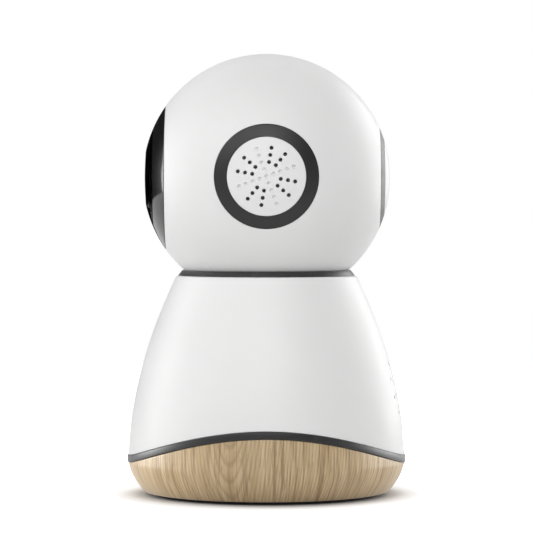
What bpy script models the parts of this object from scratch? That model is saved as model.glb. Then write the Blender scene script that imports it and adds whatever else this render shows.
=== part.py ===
"""Nursery camera with a ball head that pans and tilts on a bell-shaped body with a wooden base.

Metres, +Z up. The origin is on the table, under the middle of the base. The lens looks along -Y,
so +X is the camera's own left. Heights are from the table, except in the head, whose pieces are
drawn from the ball's centre and hang on the tilt axis.
"""

import math

import bmesh
import bpy
from mathutils import Matrix, Vector

MM = 0.001
GAP = 0.3 * MM  # left between pieces that touch

# Ball head
HEAD_RADIUS = 37.5 * MM
HEAD_WALL = 2.0 * MM
HEAD_CENTRE_Z = 96.05 * MM
FACE_PLANE = 30.4 * MM  # where the white shell stops and the black face starts
BEZEL_RADIUS = 21.5 * MM
WINDOW_RADIUS = 15.35 * MM
LENS_COVER_RADIUS = 8.35 * MM
LENS_COVER_EDGE = 36.5 * MM  # depths of the cover's rim and of its middle
LENS_COVER_FRONT = 36.9 * MM
ROUNDEL_RADIUS = 15.3 * MM  # outside of the dark ring, the same on both sides and the back
ROUNDEL_DISC_RADIUS = 11.55 * MM
REAR_ROUNDEL_DEPTH = 1.8 * MM
POCKET_FLOOR = 33.2 * MM  # floor behind a side roundel, from the ball's centre
POCKET_FLOOR_WALL = 1.6 * MM
STAR_ARMS = 12
STAR_PITCH = 2.12 * MM
STAR_TURN = math.radians(20)
STAR_HOLE_RADIUS = 0.57 * MM
LAMPS = 6
LAMP_CIRCLE = 11.2 * MM

# Tilt: the lens goes 35 degrees up and 10 degrees down
TILT_UP = math.radians(35)
TILT_DOWN = math.radians(10)
SLOT_HALF_WIDTH = 3.7 * MM
SLOT_END_ROOM = math.radians(6.5)
PIN_RADIUS = 2.8 * MM
HUB_RADIUS = 6.0 * MM
HUB_FACE = 29.4 * MM
TILT_MODULE = 0.5 * MM
TILT_TEETH = 36
PINION_TEETH = 12
TILT_GEAR_WIDTH = 1.8 * MM
TILT_MOTOR_RADIUS = 5.2 * MM

# Yoke, carried by the turntable
YOKE_REACH = 29.0 * MM
YOKE_PLATE = 2.5 * MM
YOKE_HALF_WIDTH = 5.0 * MM
YOKE_BOTTOM = 33.05 * MM
STEM_RADIUS = 3.2 * MM
STEM_BORE = 1.8 * MM
STEM_FOOT_Z = 34.2 * MM
SHIELD_RADIUS = 34.6 * MM
SHIELD_WALL = 0.85 * MM
SHIELD_HALF_WIDTH = 6.0 * MM
SHIELD_SWEEP = math.radians(104)

# Pan drive
HUB_FOOT_Z = 38.0 * MM
TURNTABLE_Z = 54.0 * MM
TURNTABLE_TOP_Z = 56.5 * MM
TURNTABLE_RADIUS = 22.0 * MM
PAN_HUB_RADIUS = 9.0 * MM
PAN_MODULE = 0.7 * MM
PAN_TEETH = 48
PAN_GEAR_Z = 48.0 * MM
PAN_GEAR_WIDTH = 3.5 * MM
PAN_MOTOR_ANGLE = math.radians(210)
PAN_MOTOR_RADIUS = 8.4 * MM
PAN_MOTOR_Z = 28.0 * MM
PLATE_Z = 44.0 * MM
PLATE_TOP_Z = 46.5 * MM
PLATE_RADIUS = 32.4 * MM

# Body
NECK_RADIUS = 27.3 * MM  # the body's outside at its top
WAIST_RADIUS = 41.9 * MM  # and at its widest
NECK_Z = 66.4 * MM
BELLY_Z = 36.0 * MM  # height of the curve's middle control point
WAIST_Z = 10.0 * MM
SHELL_WALL = 2.2 * MM
WAVE_MID_Z = 15.9 * MM  # middle of the dark strip, averaged round the body
WAVE_RISE = 4.95 * MM  # it is this much higher at the sides, and lower at front and back
WAVE_WIDTH = 2.2 * MM
WAVE_PROUD = 0.3 * MM
WOOD_WALL = 3.0 * MM
WOOD_FOOT_RADIUS = 37.2 * MM
WOOD_FOOT_Z = 1.2 * MM
FOOT_BEND = (41.0 * MM, 5.2 * MM)  # control point of the curve from the waist in to the foot
STRETCH_Z = 6.0 * MM  # the wood's wall is stretched to the wave from here up
RING_Z = 66.5 * MM
RING_TOP_Z = 68.3 * MM
SPIGOT_Z = 63.5 * MM
FLOOR_Z = 1.0 * MM  # underside of the wood and of the base plate
FOOT_OUTER = 34.0 * MM
FOOT_INNER = 29.5 * MM
BASE_PLATE_RADIUS = 28.5 * MM
BASE_PLATE_TOP_Z = 3.2 * MM
FRAME_Z = 3.5 * MM
FRAME_TOP_Z = 5.5 * MM
FRAME_RADIUS = 35.5 * MM
LEG_RADIUS = 3.0 * MM
LEG_CIRCLE = 24.0 * MM
LEG_ANGLES = [math.radians(a) for a in (60, 180, 300)]
BOSS_CIRCLE = 28.0 * MM
BOSS_ANGLES = [math.radians(a) for a in (0, 120, 240)]
SCREW_RADIUS = 1.0 * MM
SCREW_HEAD_RADIUS = 2.0 * MM
SCREW_HOLE_RADIUS = 1.3 * MM
INSERT_RADIUS = 4.6 * MM
INSERT_BORE = 2.7 * MM
INSERT_TOP_Z = 9.5 * MM
RESET_PLACE = (6.0 * MM, -16.0 * MM)
RESET_RADIUS = 1.8 * MM
SPEAKER_Z = 31.8 * MM
GRILLE_PITCH = 2.6 * MM
GRILLE_HOLE_RADIUS = 0.6 * MM
STATUS_Z = 24.0 * MM
STATUS_RADIUS = 1.5 * MM
SOCKET_POCKET = (5.5 * MM, 13.2 * MM, 19.0 * MM)  # half width, bottom and top
SOCKET_Z = 16.05 * MM
SOCKET_HALF = (4.5 * MM, 1.65 * MM)
SOCKET_FACE = 36.8 * MM
SOCKET_WALL = 0.4 * MM

# Steps round a turned piece
LARGE = 32
MIDDLE = 20
SMALL = 10
TINY = 6

LEFT = Vector((1, 0, 0))
RIGHT = Vector((-1, 0, 0))
FRONT = Vector((0, -1, 0))
BACK = Vector((0, 1, 0))
UP = Vector((0, 0, 1))

WHITE = (0.86, 0.86, 0.85)
CHARCOAL = (0.055, 0.058, 0.062)
BLACK = (0.012, 0.012, 0.014)


# ---------------------------------------------------------------- scene and pieces

def clear_scene():
    for obj in list(bpy.data.objects):
        bpy.data.objects.remove(obj, do_unlink=True)


def axis_empty(name, place=(0, 0, 0), parent=None):
    """An empty on a joint's axis, which carries that joint's pieces."""
    empty = bpy.data.objects.new(name, None)
    bpy.context.scene.collection.objects.link(empty)
    empty.location = place
    empty.parent = parent
    return empty


def finish(name, colour, roughness, metallic=0.0):
    made = bpy.data.materials.new(name)
    made.use_nodes = True
    shader = made.node_tree.nodes["Principled BSDF"]
    shader.inputs["Base Color"].default_value = (*colour, 1)
    shader.inputs["Roughness"].default_value = roughness
    shader.inputs["Metallic"].default_value = metallic
    return made


def new_object(name, bm, parent):
    mesh = bpy.data.meshes.new(name)
    bm.to_mesh(mesh)
    bm.free()
    obj = bpy.data.objects.new(name, mesh)
    bpy.context.scene.collection.objects.link(obj)
    obj.parent = parent
    return obj


def piece(name, bm, parent, colour, roughness, metallic=0.0):
    """A sub-part: one named object with a material of its own."""
    obj = new_object(name, bm, parent)
    obj.data.materials.append(finish(name, colour, roughness, metallic))
    obj.data.shade_smooth()
    obj.data.set_sharp_from_angle(angle=math.radians(35))
    return obj


def combine(obj, tool, operation):
    """Adds a tool shape to a piece, or takes it away."""
    count = sum(modifier.type == "BOOLEAN" for modifier in obj.modifiers)
    helper = new_object(f"{obj.name}_tool_{count}", tool, obj.parent)
    helper.hide_render = True
    helper.display_type = "WIRE"
    modifier = obj.modifiers.new(f"tool_{count}", "BOOLEAN")
    modifier.operation = operation
    modifier.object = helper


def cut(obj, tool):
    combine(obj, tool, "DIFFERENCE")


def add(obj, tool):
    combine(obj, tool, "UNION")


# ---------------------------------------------------------------- shapes

def aim(bm, direction, place=(0, 0, 0)):
    """Turns a shape drawn along +Z to look along direction, and moves it to its place."""
    turn = UP.rotation_difference(direction).to_matrix().to_4x4()
    bmesh.ops.transform(bm, matrix=Matrix.Translation(place) @ turn, verts=bm.verts)
    return bm


def turned(section, steps, direction=UP, place=(0, 0, 0)):
    """A turned solid. The section is (radius, height) points, closed, or open from axis to axis."""
    bm = bmesh.new()
    points = [bm.verts.new((radius, 0, height)) for radius, height in section]
    edges = [bm.edges.new(pair) for pair in zip(points, points[1:])]
    if section[0][0] > 0:
        edges.append(bm.edges.new((points[-1], points[0])))
    bmesh.ops.spin(
        bm, geom=points + edges, cent=(0, 0, 0), axis=UP, angle=math.tau, steps=steps,
        use_merge=True,
    )
    bmesh.ops.remove_doubles(bm, verts=bm.verts, dist=1e-7)
    bmesh.ops.recalc_face_normals(bm, faces=bm.faces)
    return aim(bm, direction, place)


def rod(radius, low, high, steps, direction=UP, place=(0, 0, 0)):
    section = [(0, low), (radius, low), (radius, high), (0, high)]
    return turned(section, steps, direction, place)


def tube(inner, outer, low, high, steps, direction=UP, place=(0, 0, 0)):
    section = [(inner, low), (outer, low), (outer, high), (inner, high)]
    return turned(section, steps, direction, place)


def box(low, high):
    bm = bmesh.new()
    size = Vector(high) - Vector(low)
    middle = (Vector(high) + Vector(low)) / 2
    bmesh.ops.create_cube(bm, size=1)
    bmesh.ops.scale(bm, vec=size, verts=bm.verts)
    bmesh.ops.translate(bm, vec=middle, verts=bm.verts)
    return bm


def prism(outline, low, high, direction=UP, place=(0, 0, 0)):
    """An outline in the XY plane, extruded from low to high along Z and then aimed."""
    bm = bmesh.new()
    face = bm.faces.new([bm.verts.new((x, y, low)) for x, y in outline])
    raised = bmesh.ops.extrude_face_region(bm, geom=[face])["geom"]
    corners = [item for item in raised if isinstance(item, bmesh.types.BMVert)]
    bmesh.ops.translate(bm, vec=(0, 0, high - low), verts=corners)
    bmesh.ops.recalc_face_normals(bm, faces=bm.faces)
    return aim(bm, direction, place)


def joined(shapes):
    """Several shapes that don't touch, as one tool."""
    whole = bmesh.new()
    for shape in shapes:
        mesh = bpy.data.meshes.new("joined")
        shape.to_mesh(mesh)
        shape.free()
        whole.from_mesh(mesh)
        bpy.data.meshes.remove(mesh)
    return whole


def band_over_axis_x(half_width, inner, outer, start, sweep, steps):
    """A band bent round the X axis. Angles run from straight down, towards the front."""
    bm = bmesh.new()
    corners = [(-half_width, inner), (half_width, inner), (half_width, outer), (-half_width, outer)]
    ring = [bm.verts.new((x, 0, -radius)) for x, radius in corners]
    edges = [bm.edges.new((ring[i], ring[(i + 1) % 4])) for i in range(4)]
    bmesh.ops.rotate(bm, cent=(0, 0, 0), matrix=Matrix.Rotation(-start, 3, "X"), verts=bm.verts)
    bmesh.ops.spin(
        bm, geom=ring + edges, cent=(0, 0, 0), axis=RIGHT, angle=sweep, steps=steps,
    )
    open_edges = [edge for edge in bm.edges if edge.is_boundary]
    bmesh.ops.holes_fill(bm, edges=open_edges, sides=4)
    bmesh.ops.recalc_face_normals(bm, faces=bm.faces)
    return bm


def on_circle(radius, angle, height=0.0):
    return Vector((radius * math.cos(angle), radius * math.sin(angle), height))


def sphere_arc(radius, start, end, steps):
    """(radius from the axis, height) points on a ball, from one distance off the axis to another."""
    first = math.asin(start / radius)
    last = math.asin(end / radius)
    angles = [first + (last - first) * i / steps for i in range(steps + 1)]
    return [(radius * math.sin(a), radius * math.cos(a)) for a in angles]


def curve_weights(t):
    """Shares of the start, control and end points at t along a quadratic curve."""
    return ((1 - t) ** 2, 2 * t * (1 - t), t ** 2)


def quadratic(start, middle, end, steps):
    """Points along a curve with one control point, without its first point."""
    found = []
    for i in range(1, steps + 1):
        found.append(tuple(
            sum(w * point[axis] for w, point in zip(curve_weights(i / steps), (start, middle, end)))
            for axis in (0, 1)
        ))
    return found


def gear_outline(teeth, module, turn=0.0):
    """Trapezoid teeth with a little backlash; a tooth is centred on the angle turn."""
    pitch_radius = module * teeth / 2
    tip = pitch_radius + 0.85 * module
    root = pitch_radius - 1.15 * module
    pitch_angle = math.tau / teeth
    outline = []
    for tooth in range(teeth):
        middle = turn + tooth * pitch_angle
        for radius, share in ((root, -0.33), (tip, -0.12), (tip, 0.12), (root, 0.33)):
            angle = middle + share * pitch_angle
            outline.append((radius * math.cos(angle), radius * math.sin(angle)))
    return outline


def star_places(arms, pitch, rings, turn, skip_every=0):
    """(across, up) places of the holes in a star grille; every third arm can stay blind."""
    places = []
    for arm in range(arms):
        if skip_every and arm % skip_every == 0:
            continue
        angle = turn + arm * math.tau / arms
        for ring in rings:
            places.append((ring * pitch * math.cos(angle), ring * pitch * math.sin(angle)))
    return places


def body_radius(z):
    """Radius of the body's outside at a height: one curve to the waist, and one below it."""
    if z < WAIST_Z:
        bend = WAIST_Z - 2 * FOOT_BEND[1] + WOOD_FOOT_Z
        slope = 2 * (WAIST_Z - FOOT_BEND[1])
        t = (slope - math.sqrt(slope ** 2 - 4 * bend * (WAIST_Z - z))) / (2 * bend)
        radii = (WAIST_RADIUS, FOOT_BEND[0], WOOD_FOOT_RADIUS)
        return sum(w * radius for w, radius in zip(curve_weights(t), radii))
    bend = NECK_Z - 2 * BELLY_Z + WAIST_Z
    slope = 2 * (NECK_Z - BELLY_Z)
    t = (slope - math.sqrt(slope ** 2 - 4 * bend * (NECK_Z - z))) / (2 * bend)
    return WAIST_RADIUS - (WAIST_RADIUS - NECK_RADIUS) * (1 - t) ** 2


def wave_z(angle):
    """Height of the middle of the dark strip at an angle round the body."""
    return WAVE_MID_Z + WAVE_RISE * math.cos(2 * angle)


def stretch_to_wave(bm, fixed_z, drawn_z, offset):
    """Stretches a turned wall between a fixed height and drawn_z, so that its edge meets the wave."""
    for vertex in bm.verts:
        share = (vertex.co.z - fixed_z) / (drawn_z - fixed_z)
        if share <= 0:
            continue
        angle = math.atan2(vertex.co.y, vertex.co.x)
        z = fixed_z + share * (wave_z(angle) + offset - fixed_z)
        radius = vertex.co.xy.length
        moved = radius + body_radius(z) - body_radius(vertex.co.z)
        vertex.co = (vertex.co.x * moved / radius, vertex.co.y * moved / radius, z)
    return bm


# ---------------------------------------------------------------- body

def make_body_shell(base):
    """White bell: the wave edge below, three bosses inside, and openings for what looks out."""
    top = NECK_Z - 0.2 * MM
    low = WAVE_MID_Z
    outer_rows = 6
    inner_rows = 3
    section = [(body_radius(top) - SHELL_WALL, top), (body_radius(top) - 0.7 * MM, top)]
    for row in range(outer_rows + 1):
        z = top - 0.5 * MM - (top - 0.5 * MM - low) * row / outer_rows
        section.append((body_radius(z), z))
    for row in range(inner_rows):
        z = low + (top - low) * row / inner_rows
        section.append((body_radius(z) - SHELL_WALL, z))
    bm = stretch_to_wave(turned(section, LARGE), top, low, WAVE_WIDTH / 2 + GAP)
    shell = piece("body_shell", bm, base, WHITE, 0.35)
    bosses = [
        rod(LEG_RADIUS, PLATE_TOP_Z + GAP, 56 * MM, SMALL, UP, on_circle(BOSS_CIRCLE, angle))
        for angle in BOSS_ANGLES
    ]
    add(shell, joined(bosses))
    holes = [
        rod(GRILLE_HOLE_RADIUS, 30 * MM, 44 * MM, 5, BACK, (x, 0, SPEAKER_Z + z))
        for x, z in star_places(STAR_ARMS, GRILLE_PITCH, (2, 3, 4), STAR_TURN)
    ]
    half_width, pocket_low, pocket_high = SOCKET_POCKET
    holes.append(box((-half_width, 36 * MM, pocket_low), (half_width, 44 * MM, pocket_high)))
    holes.append(
        rod(STATUS_RADIUS + GAP, 36 * MM, 44 * MM, SMALL, FRONT, (0, 0, STATUS_Z))
    )
    cut(shell, joined(holes))


def make_wave_trim(base):
    """Charcoal strip between the white and the wood, a little proud of both."""
    low = WAVE_MID_Z - WAVE_WIDTH / 2
    high = WAVE_MID_Z + WAVE_WIDTH / 2
    edge = 0.25 * MM
    radius = WAIST_RADIUS
    section = [
        (radius - SHELL_WALL, low),
        (radius, low),
        (radius + WAVE_PROUD, low + edge),
        (radius + WAVE_PROUD, high - edge),
        (radius, high),
        (radius - SHELL_WALL, high),
    ]
    bm = turned(section, LARGE)
    for vertex in bm.verts:
        angle = math.atan2(vertex.co.y, vertex.co.x)
        z = vertex.co.z + WAVE_RISE * math.cos(2 * angle)
        radius = vertex.co.xy.length
        moved = radius + body_radius(max(z, WAIST_Z)) - WAIST_RADIUS
        vertex.co = (vertex.co.x * moved / radius, vertex.co.y * moved / radius, z)
    piece("wave_trim", bm, base, CHARCOAL, 0.45)


def make_wood_base(base):
    """Wooden ring: its top edge follows the wave, and a flange below carries the foot ring."""
    top = WAVE_MID_Z
    flange = BASE_PLATE_RADIUS + GAP
    inside = WAIST_RADIUS - WOOD_WALL
    heights = [top, 13 * MM, WAIST_Z, 8 * MM, STRETCH_Z, 3.4 * MM, 2.1 * MM, WOOD_FOOT_Z]
    section = [(inside, top)] + [(body_radius(z), z) for z in heights]
    section += [
        (WOOD_FOOT_RADIUS - 0.8 * MM, FLOOR_Z),
        (flange, FLOOR_Z),
        (flange, BASE_PLATE_TOP_Z),
        (FRAME_RADIUS + 0.4 * MM, BASE_PLATE_TOP_Z),
        (inside - 1.2 * MM, STRETCH_Z),
        (inside, WAIST_Z),
    ]
    bm = turned(section, LARGE)
    bm = stretch_to_wave(bm, STRETCH_Z, top, -WAVE_WIDTH / 2 - GAP)
    piece("wood_base", bm, base, (0.60, 0.44, 0.27), 0.6)


def make_neck_ring(base):
    """Charcoal collar that the ball turns in, with a spigot inside the shell's mouth."""
    seat_low = math.sqrt(HEAD_RADIUS ** 2 - (HEAD_CENTRE_Z - RING_Z) ** 2)
    seat_top = math.sqrt(HEAD_RADIUS ** 2 - (HEAD_CENTRE_Z - RING_TOP_Z) ** 2)
    clear = 0.4 * MM
    spigot = NECK_RADIUS - SHELL_WALL - 0.4 * MM
    section = [
        (seat_top + clear, RING_TOP_Z),
        (seat_top + clear + 0.35 * MM, RING_TOP_Z),
        (26.8 * MM, RING_Z),
        (spigot, RING_Z),
        (spigot, SPIGOT_Z),
        (seat_low + clear, SPIGOT_Z),
        (seat_low + clear, RING_Z),
    ]
    piece("neck_ring", turned(section, LARGE), base, CHARCOAL, 0.4)


def make_underside(base):
    """Base plate, foot ring, threaded insert and the three screws that hold the body together."""
    plate = piece(
        "base_plate",
        rod(BASE_PLATE_RADIUS, FLOOR_Z, BASE_PLATE_TOP_Z, MIDDLE),
        base, (0.05, 0.05, 0.055), 0.6,
    )
    cut(plate, joined(
        [rod(INSERT_RADIUS + GAP, 0, 4 * MM, SMALL)]
        + [rod(RESET_RADIUS + GAP, 0, 4 * MM, SMALL, UP, (*RESET_PLACE, 0))]
        + [screw_hole(angle) for angle in LEG_ANGLES]
    ))
    foot = tube(FOOT_INNER, FOOT_OUTER, 0, FLOOR_Z - GAP, LARGE)
    piece("foot_ring", foot, base, (0.03, 0.03, 0.032), 0.85)
    section = [
        (0, INSERT_TOP_Z - MM), (INSERT_BORE, INSERT_TOP_Z - MM), (INSERT_BORE, FLOOR_Z),
        (INSERT_RADIUS, FLOOR_Z), (INSERT_RADIUS, INSERT_TOP_Z), (0, INSERT_TOP_Z),
    ]
    piece("tripod_insert", turned(section, SMALL), base, (0.72, 0.55, 0.27), 0.35, 1.0)
    for number, angle in enumerate(LEG_ANGLES, 1):
        head_low = FLOOR_Z + 0.1 * MM
        head_top = FLOOR_Z + 1.1 * MM
        section = [
            (0, head_low), (SCREW_HEAD_RADIUS, head_low), (SCREW_HEAD_RADIUS, head_top),
            (SCREW_RADIUS, head_top), (SCREW_RADIUS, 13 * MM), (0, 13.6 * MM),
        ]
        screw = turned(section, TINY, UP, on_circle(LEG_CIRCLE, angle))
        piece(f"base_screw_{number}", screw, base, (0.55, 0.55, 0.56), 0.35, 1.0)


def screw_hole(angle):
    """A counterbored hole through the base plate, over one of the legs."""
    seat = FLOOR_Z + 1.4 * MM
    section = [
        (0, 0), (SCREW_HEAD_RADIUS + GAP, 0), (SCREW_HEAD_RADIUS + GAP, seat),
        (SCREW_HOLE_RADIUS, seat), (SCREW_HOLE_RADIUS, 4 * MM), (0, 4 * MM),
    ]
    return turned(section, SMALL, UP, on_circle(LEG_CIRCLE, angle))


def make_base_frame(base):
    """Inner floor with four posts for the main board, and the ballast that lies on it."""
    frame = piece(
        "base_frame", rod(FRAME_RADIUS, FRAME_Z, FRAME_TOP_Z, MIDDLE), base, (0.07, 0.07, 0.075), 0.6
    )
    add(frame, joined([
        rod(2 * MM, FRAME_TOP_Z - MM, 10.7 * MM, TINY, UP, (x * MM, y * MM, 0))
        for x in (-16.5, 16.5) for y in (-14, 14)
    ]))
    cut(frame, joined(
        [rod(INSERT_RADIUS + GAP, 3 * MM, 6 * MM, SMALL)]
        + [rod(RESET_RADIUS + GAP, 3 * MM, 6 * MM, SMALL, UP, (*RESET_PLACE, 0))]
        + [
            rod(SCREW_HOLE_RADIUS, 3 * MM, 6 * MM, TINY, UP, on_circle(LEG_CIRCLE, angle))
            for angle in LEG_ANGLES
        ]
    ))
    weight = tube(6 * MM, 14.5 * MM, FRAME_TOP_Z + GAP, 9.8 * MM, MIDDLE)
    piece("ballast_weight", weight, base, (0.42, 0.42, 0.44), 0.5, 1.0)


def make_electronics(base):
    """Main board, socket board and socket, antenna, status light and speaker."""
    board = piece(
        "main_board",
        box((-19 * MM, -16.5 * MM, 11 * MM), (19 * MM, 16.5 * MM, 12.6 * MM)),
        base, (0.03, 0.16, 0.07), 0.5,
    )
    add(board, joined([
        box((-14 * MM, -6 * MM, 12 * MM), (-2 * MM, 6 * MM, 14.2 * MM)),
        box((3 * MM, -12 * MM, 12 * MM), (13 * MM, -2 * MM, 13.8 * MM)),
        box((4 * MM, 3 * MM, 12 * MM), (15 * MM, 9 * MM, 15.4 * MM)),
    ]))
    socket_board = box((-8 * MM, 26.5 * MM, 12.8 * MM), (8 * MM, 36 * MM, 14.1 * MM))
    piece("socket_board", socket_board, base, (0.03, 0.16, 0.07), 0.5)

    wide, high = SOCKET_HALF
    socket = piece(
        "power_socket",
        box((-wide, 30 * MM, SOCKET_Z - high), (wide, SOCKET_FACE, SOCKET_Z + high)),
        base, (0.62, 0.62, 0.64), 0.3, 1.0,
    )
    wide_inside = wide - SOCKET_WALL
    high_inside = high - SOCKET_WALL
    cut(socket, box(
        (-wide_inside, 31 * MM, SOCKET_Z - high_inside),
        (wide_inside, SOCKET_FACE + MM, SOCKET_Z + high_inside),
    ))
    tongue_wide = 3.3 * MM
    tongue_high = 0.35 * MM
    add(socket, box(
        (-tongue_wide, 30.5 * MM, SOCKET_Z - tongue_high),
        (tongue_wide, SOCKET_FACE - MM, SOCKET_Z + tongue_high),
    ))

    antenna = box((-12 * MM, -33.2 * MM, 26 * MM), (12 * MM, -32.4 * MM, 36 * MM))
    piece("wifi_antenna", antenna, base, (0.03, 0.03, 0.03), 0.5)
    light = rod(STATUS_RADIUS, 34.5 * MM, 40.9 * MM, SMALL, FRONT, (0, 0, STATUS_Z))
    piece("status_light", light, base, (0.80, 0.84, 0.82), 0.25)

    basket = [
        (0, 25.0), (7.8, 25.0), (8.5, 29.0), (11.5, 30.4), (11.5, 32.2), (9.2, 32.2),
        (9.2, 31.2), (7.2, 29.6), (6.6, 26.4), (0, 26.4),
    ]
    cone = [(0, 27.6), (3, 27.6), (8.9, 31.2), (8.9, 31.9), (3.4, 29.0), (0, 29.6)]
    for name, section, colour, metallic in (
        ("speaker_basket", basket, (0.35, 0.35, 0.36), 1.0),
        ("speaker_cone", cone, (0.03, 0.03, 0.03), 0.0),
    ):
        points = [(radius * MM, height * MM) for radius, height in section]
        shape = turned(points, MIDDLE, BACK, (0, 0, SPEAKER_Z))
        piece(name, shape, base, colour, 0.5, metallic)


def make_bearing_plate(base):
    """Deck across the body, with three legs down to the base frame and a bush for the pan hub."""
    plate = piece(
        "bearing_plate", tube(11.8 * MM, PLATE_RADIUS, PLATE_Z, PLATE_TOP_Z, MIDDLE),
        base, (0.07, 0.07, 0.075), 0.6,
    )
    add(plate, joined([
        rod(LEG_RADIUS, FRAME_TOP_Z + GAP, PLATE_Z + MM, SMALL, UP, on_circle(LEG_CIRCLE, angle))
        for angle in LEG_ANGLES
    ]))
    cut(plate, joined(
        [
            rod(SCREW_HOLE_RADIUS, 4 * MM, 14.5 * MM, TINY, UP, on_circle(LEG_CIRCLE, angle))
            for angle in LEG_ANGLES
        ]
        + [rod(1.8 * MM, 43 * MM, 48 * MM, SMALL, UP, pan_pinion_place())]
    ))
    bush = [
        (9.3, 43.6), (11.5, 43.6), (11.5, 46.8), (14.0, 46.8), (14.0, 47.6), (9.3, 47.6),
    ]
    shape = turned([(radius * MM, z * MM) for radius, z in bush], MIDDLE)
    piece("pan_bushing", shape, base, (0.75, 0.72, 0.62), 0.4)


def pan_pinion_place():
    distance = PAN_MODULE * (PAN_TEETH + PINION_TEETH) / 2
    return on_circle(distance, PAN_MOTOR_ANGLE)


def make_pan_motor(base):
    """Geared stepper under the deck, with two ears on a slant."""
    place = pan_pinion_place()
    top = PLATE_Z - GAP
    motor = piece(
        "pan_motor", rod(PAN_MOTOR_RADIUS, PAN_MOTOR_Z, top, MIDDLE, UP, place),
        base, (0.55, 0.55, 0.57), 0.4, 1.0,
    )
    ears = box((-13 * MM, -2.5 * MM, top - 1.5 * MM), (13 * MM, 2.5 * MM, top - 0.2 * MM))
    ear_turn = Matrix.Rotation(PAN_MOTOR_ANGLE + math.radians(45), 4, "Z")
    bmesh.ops.transform(ears, matrix=Matrix.Translation(place) @ ear_turn, verts=ears.verts)
    add(motor, ears)


def make_reset_button(parent):
    """Recessed button under the base: it is pressed up against a switch on the main board."""
    section = [
        (0, 0), (RESET_RADIUS, 0), (RESET_RADIUS, 4.6 * MM), (2.4 * MM, 4.6 * MM),
        (2.4 * MM, 5.6 * MM), (RESET_RADIUS, 5.6 * MM), (RESET_RADIUS, 8.8 * MM), (0, 8.8 * MM),
    ]
    piece("reset_button", turned(section, SMALL), parent, (0.45, 0.46, 0.48), 0.5)


# ---------------------------------------------------------------- turntable and yoke

def make_turntable(pan):
    section = [
        (STEM_RADIUS + GAP, HUB_FOOT_Z), (PAN_HUB_RADIUS, HUB_FOOT_Z),
        (PAN_HUB_RADIUS, TURNTABLE_Z), (TURNTABLE_RADIUS, TURNTABLE_Z),
        (TURNTABLE_RADIUS, TURNTABLE_TOP_Z), (STEM_RADIUS + GAP, TURNTABLE_TOP_Z),
    ]
    piece("turntable", turned(section, MIDDLE), pan, (0.80, 0.80, 0.79), 0.45)
    retainer = tube(PAN_HUB_RADIUS + GAP, 12.5 * MM, 41.5 * MM, 43.2 * MM, MIDDLE)
    piece("pan_retainer", retainer, pan, (0.5, 0.5, 0.52), 0.35, 1.0)
    gear_top = PAN_GEAR_Z + PAN_GEAR_WIDTH
    gear = piece(
        "pan_gear", prism(gear_outline(PAN_TEETH, PAN_MODULE), PAN_GEAR_Z, gear_top),
        pan, (0.85, 0.83, 0.76), 0.45,
    )
    cut(gear, rod(PAN_HUB_RADIUS + GAP, 47 * MM, 53 * MM, MIDDLE))
    nut_outline = [tuple(on_circle(6 * MM, math.radians(60 * i)).xy) for i in range(6)]
    nut = piece("yoke_nut", prism(nut_outline, 34.6 * MM, 37.7 * MM), pan, (0.6, 0.6, 0.62), 0.3, 1.0)
    cut(nut, rod(STEM_RADIUS + GAP, 33 * MM, 39 * MM, SMALL))


def make_pan_pinion(parent):
    """Drawn on its own axis: a gap between its teeth faces the pan gear's tooth."""
    low = -0.6 * MM
    outline = gear_outline(PINION_TEETH, PAN_MODULE, math.pi / PINION_TEETH)
    pinion = piece("pan_pinion", prism(outline, low, 4.0 * MM), parent, (0.85, 0.83, 0.76), 0.45)
    add(pinion, rod(1.2 * MM, -3.8 * MM, 0, SMALL))


def make_yoke(pan):
    """U-shaped arm inside the ball, on a hollow stem that leaves through the ball's slot."""
    outer = [
        (YOKE_REACH, 6 * MM), (YOKE_REACH, -18.5 * MM), (20 * MM, -27.5 * MM), (6 * MM, -YOKE_BOTTOM),
    ]
    inner = [
        (YOKE_REACH - YOKE_PLATE, 6 * MM), (YOKE_REACH - YOKE_PLATE, -17.5 * MM),
        (18.7 * MM, -25.2 * MM), (5.4 * MM, YOKE_PLATE - YOKE_BOTTOM),
    ]
    outline = outer + [(-x, z) for x, z in reversed(outer)]
    outline += [(-x, z) for x, z in inner] + list(reversed(inner))
    # FRONT turns the outline's +Y into +Z and keeps its +X
    shape = prism(outline, -YOKE_HALF_WIDTH, YOKE_HALF_WIDTH, FRONT, (0, 0, HEAD_CENTRE_Z))
    yoke = piece("yoke", shape, pan, (0.10, 0.10, 0.11), 0.5)
    stem_top = HEAD_CENTRE_Z - YOKE_BOTTOM + MM
    add(yoke, rod(STEM_RADIUS, STEM_FOOT_Z, stem_top, SMALL))
    pinion_hole = rod(
        1.4 * MM, -32 * MM, -22 * MM, SMALL, LEFT, (0, 0, HEAD_CENTRE_Z - tilt_gear_distance())
    )
    cut(yoke, joined([
        rod(STEM_BORE, 30 * MM, 70 * MM, SMALL),
        rod(PIN_RADIUS + GAP, 20 * MM, 34 * MM, SMALL, LEFT, (0, 0, HEAD_CENTRE_Z)),
        rod(PIN_RADIUS + GAP, 20 * MM, 34 * MM, SMALL, RIGHT, (0, 0, HEAD_CENTRE_Z)),
        pinion_hole,
    ]))


def tilt_gear_distance():
    return TILT_MODULE * (TILT_TEETH + PINION_TEETH) / 2


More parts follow.
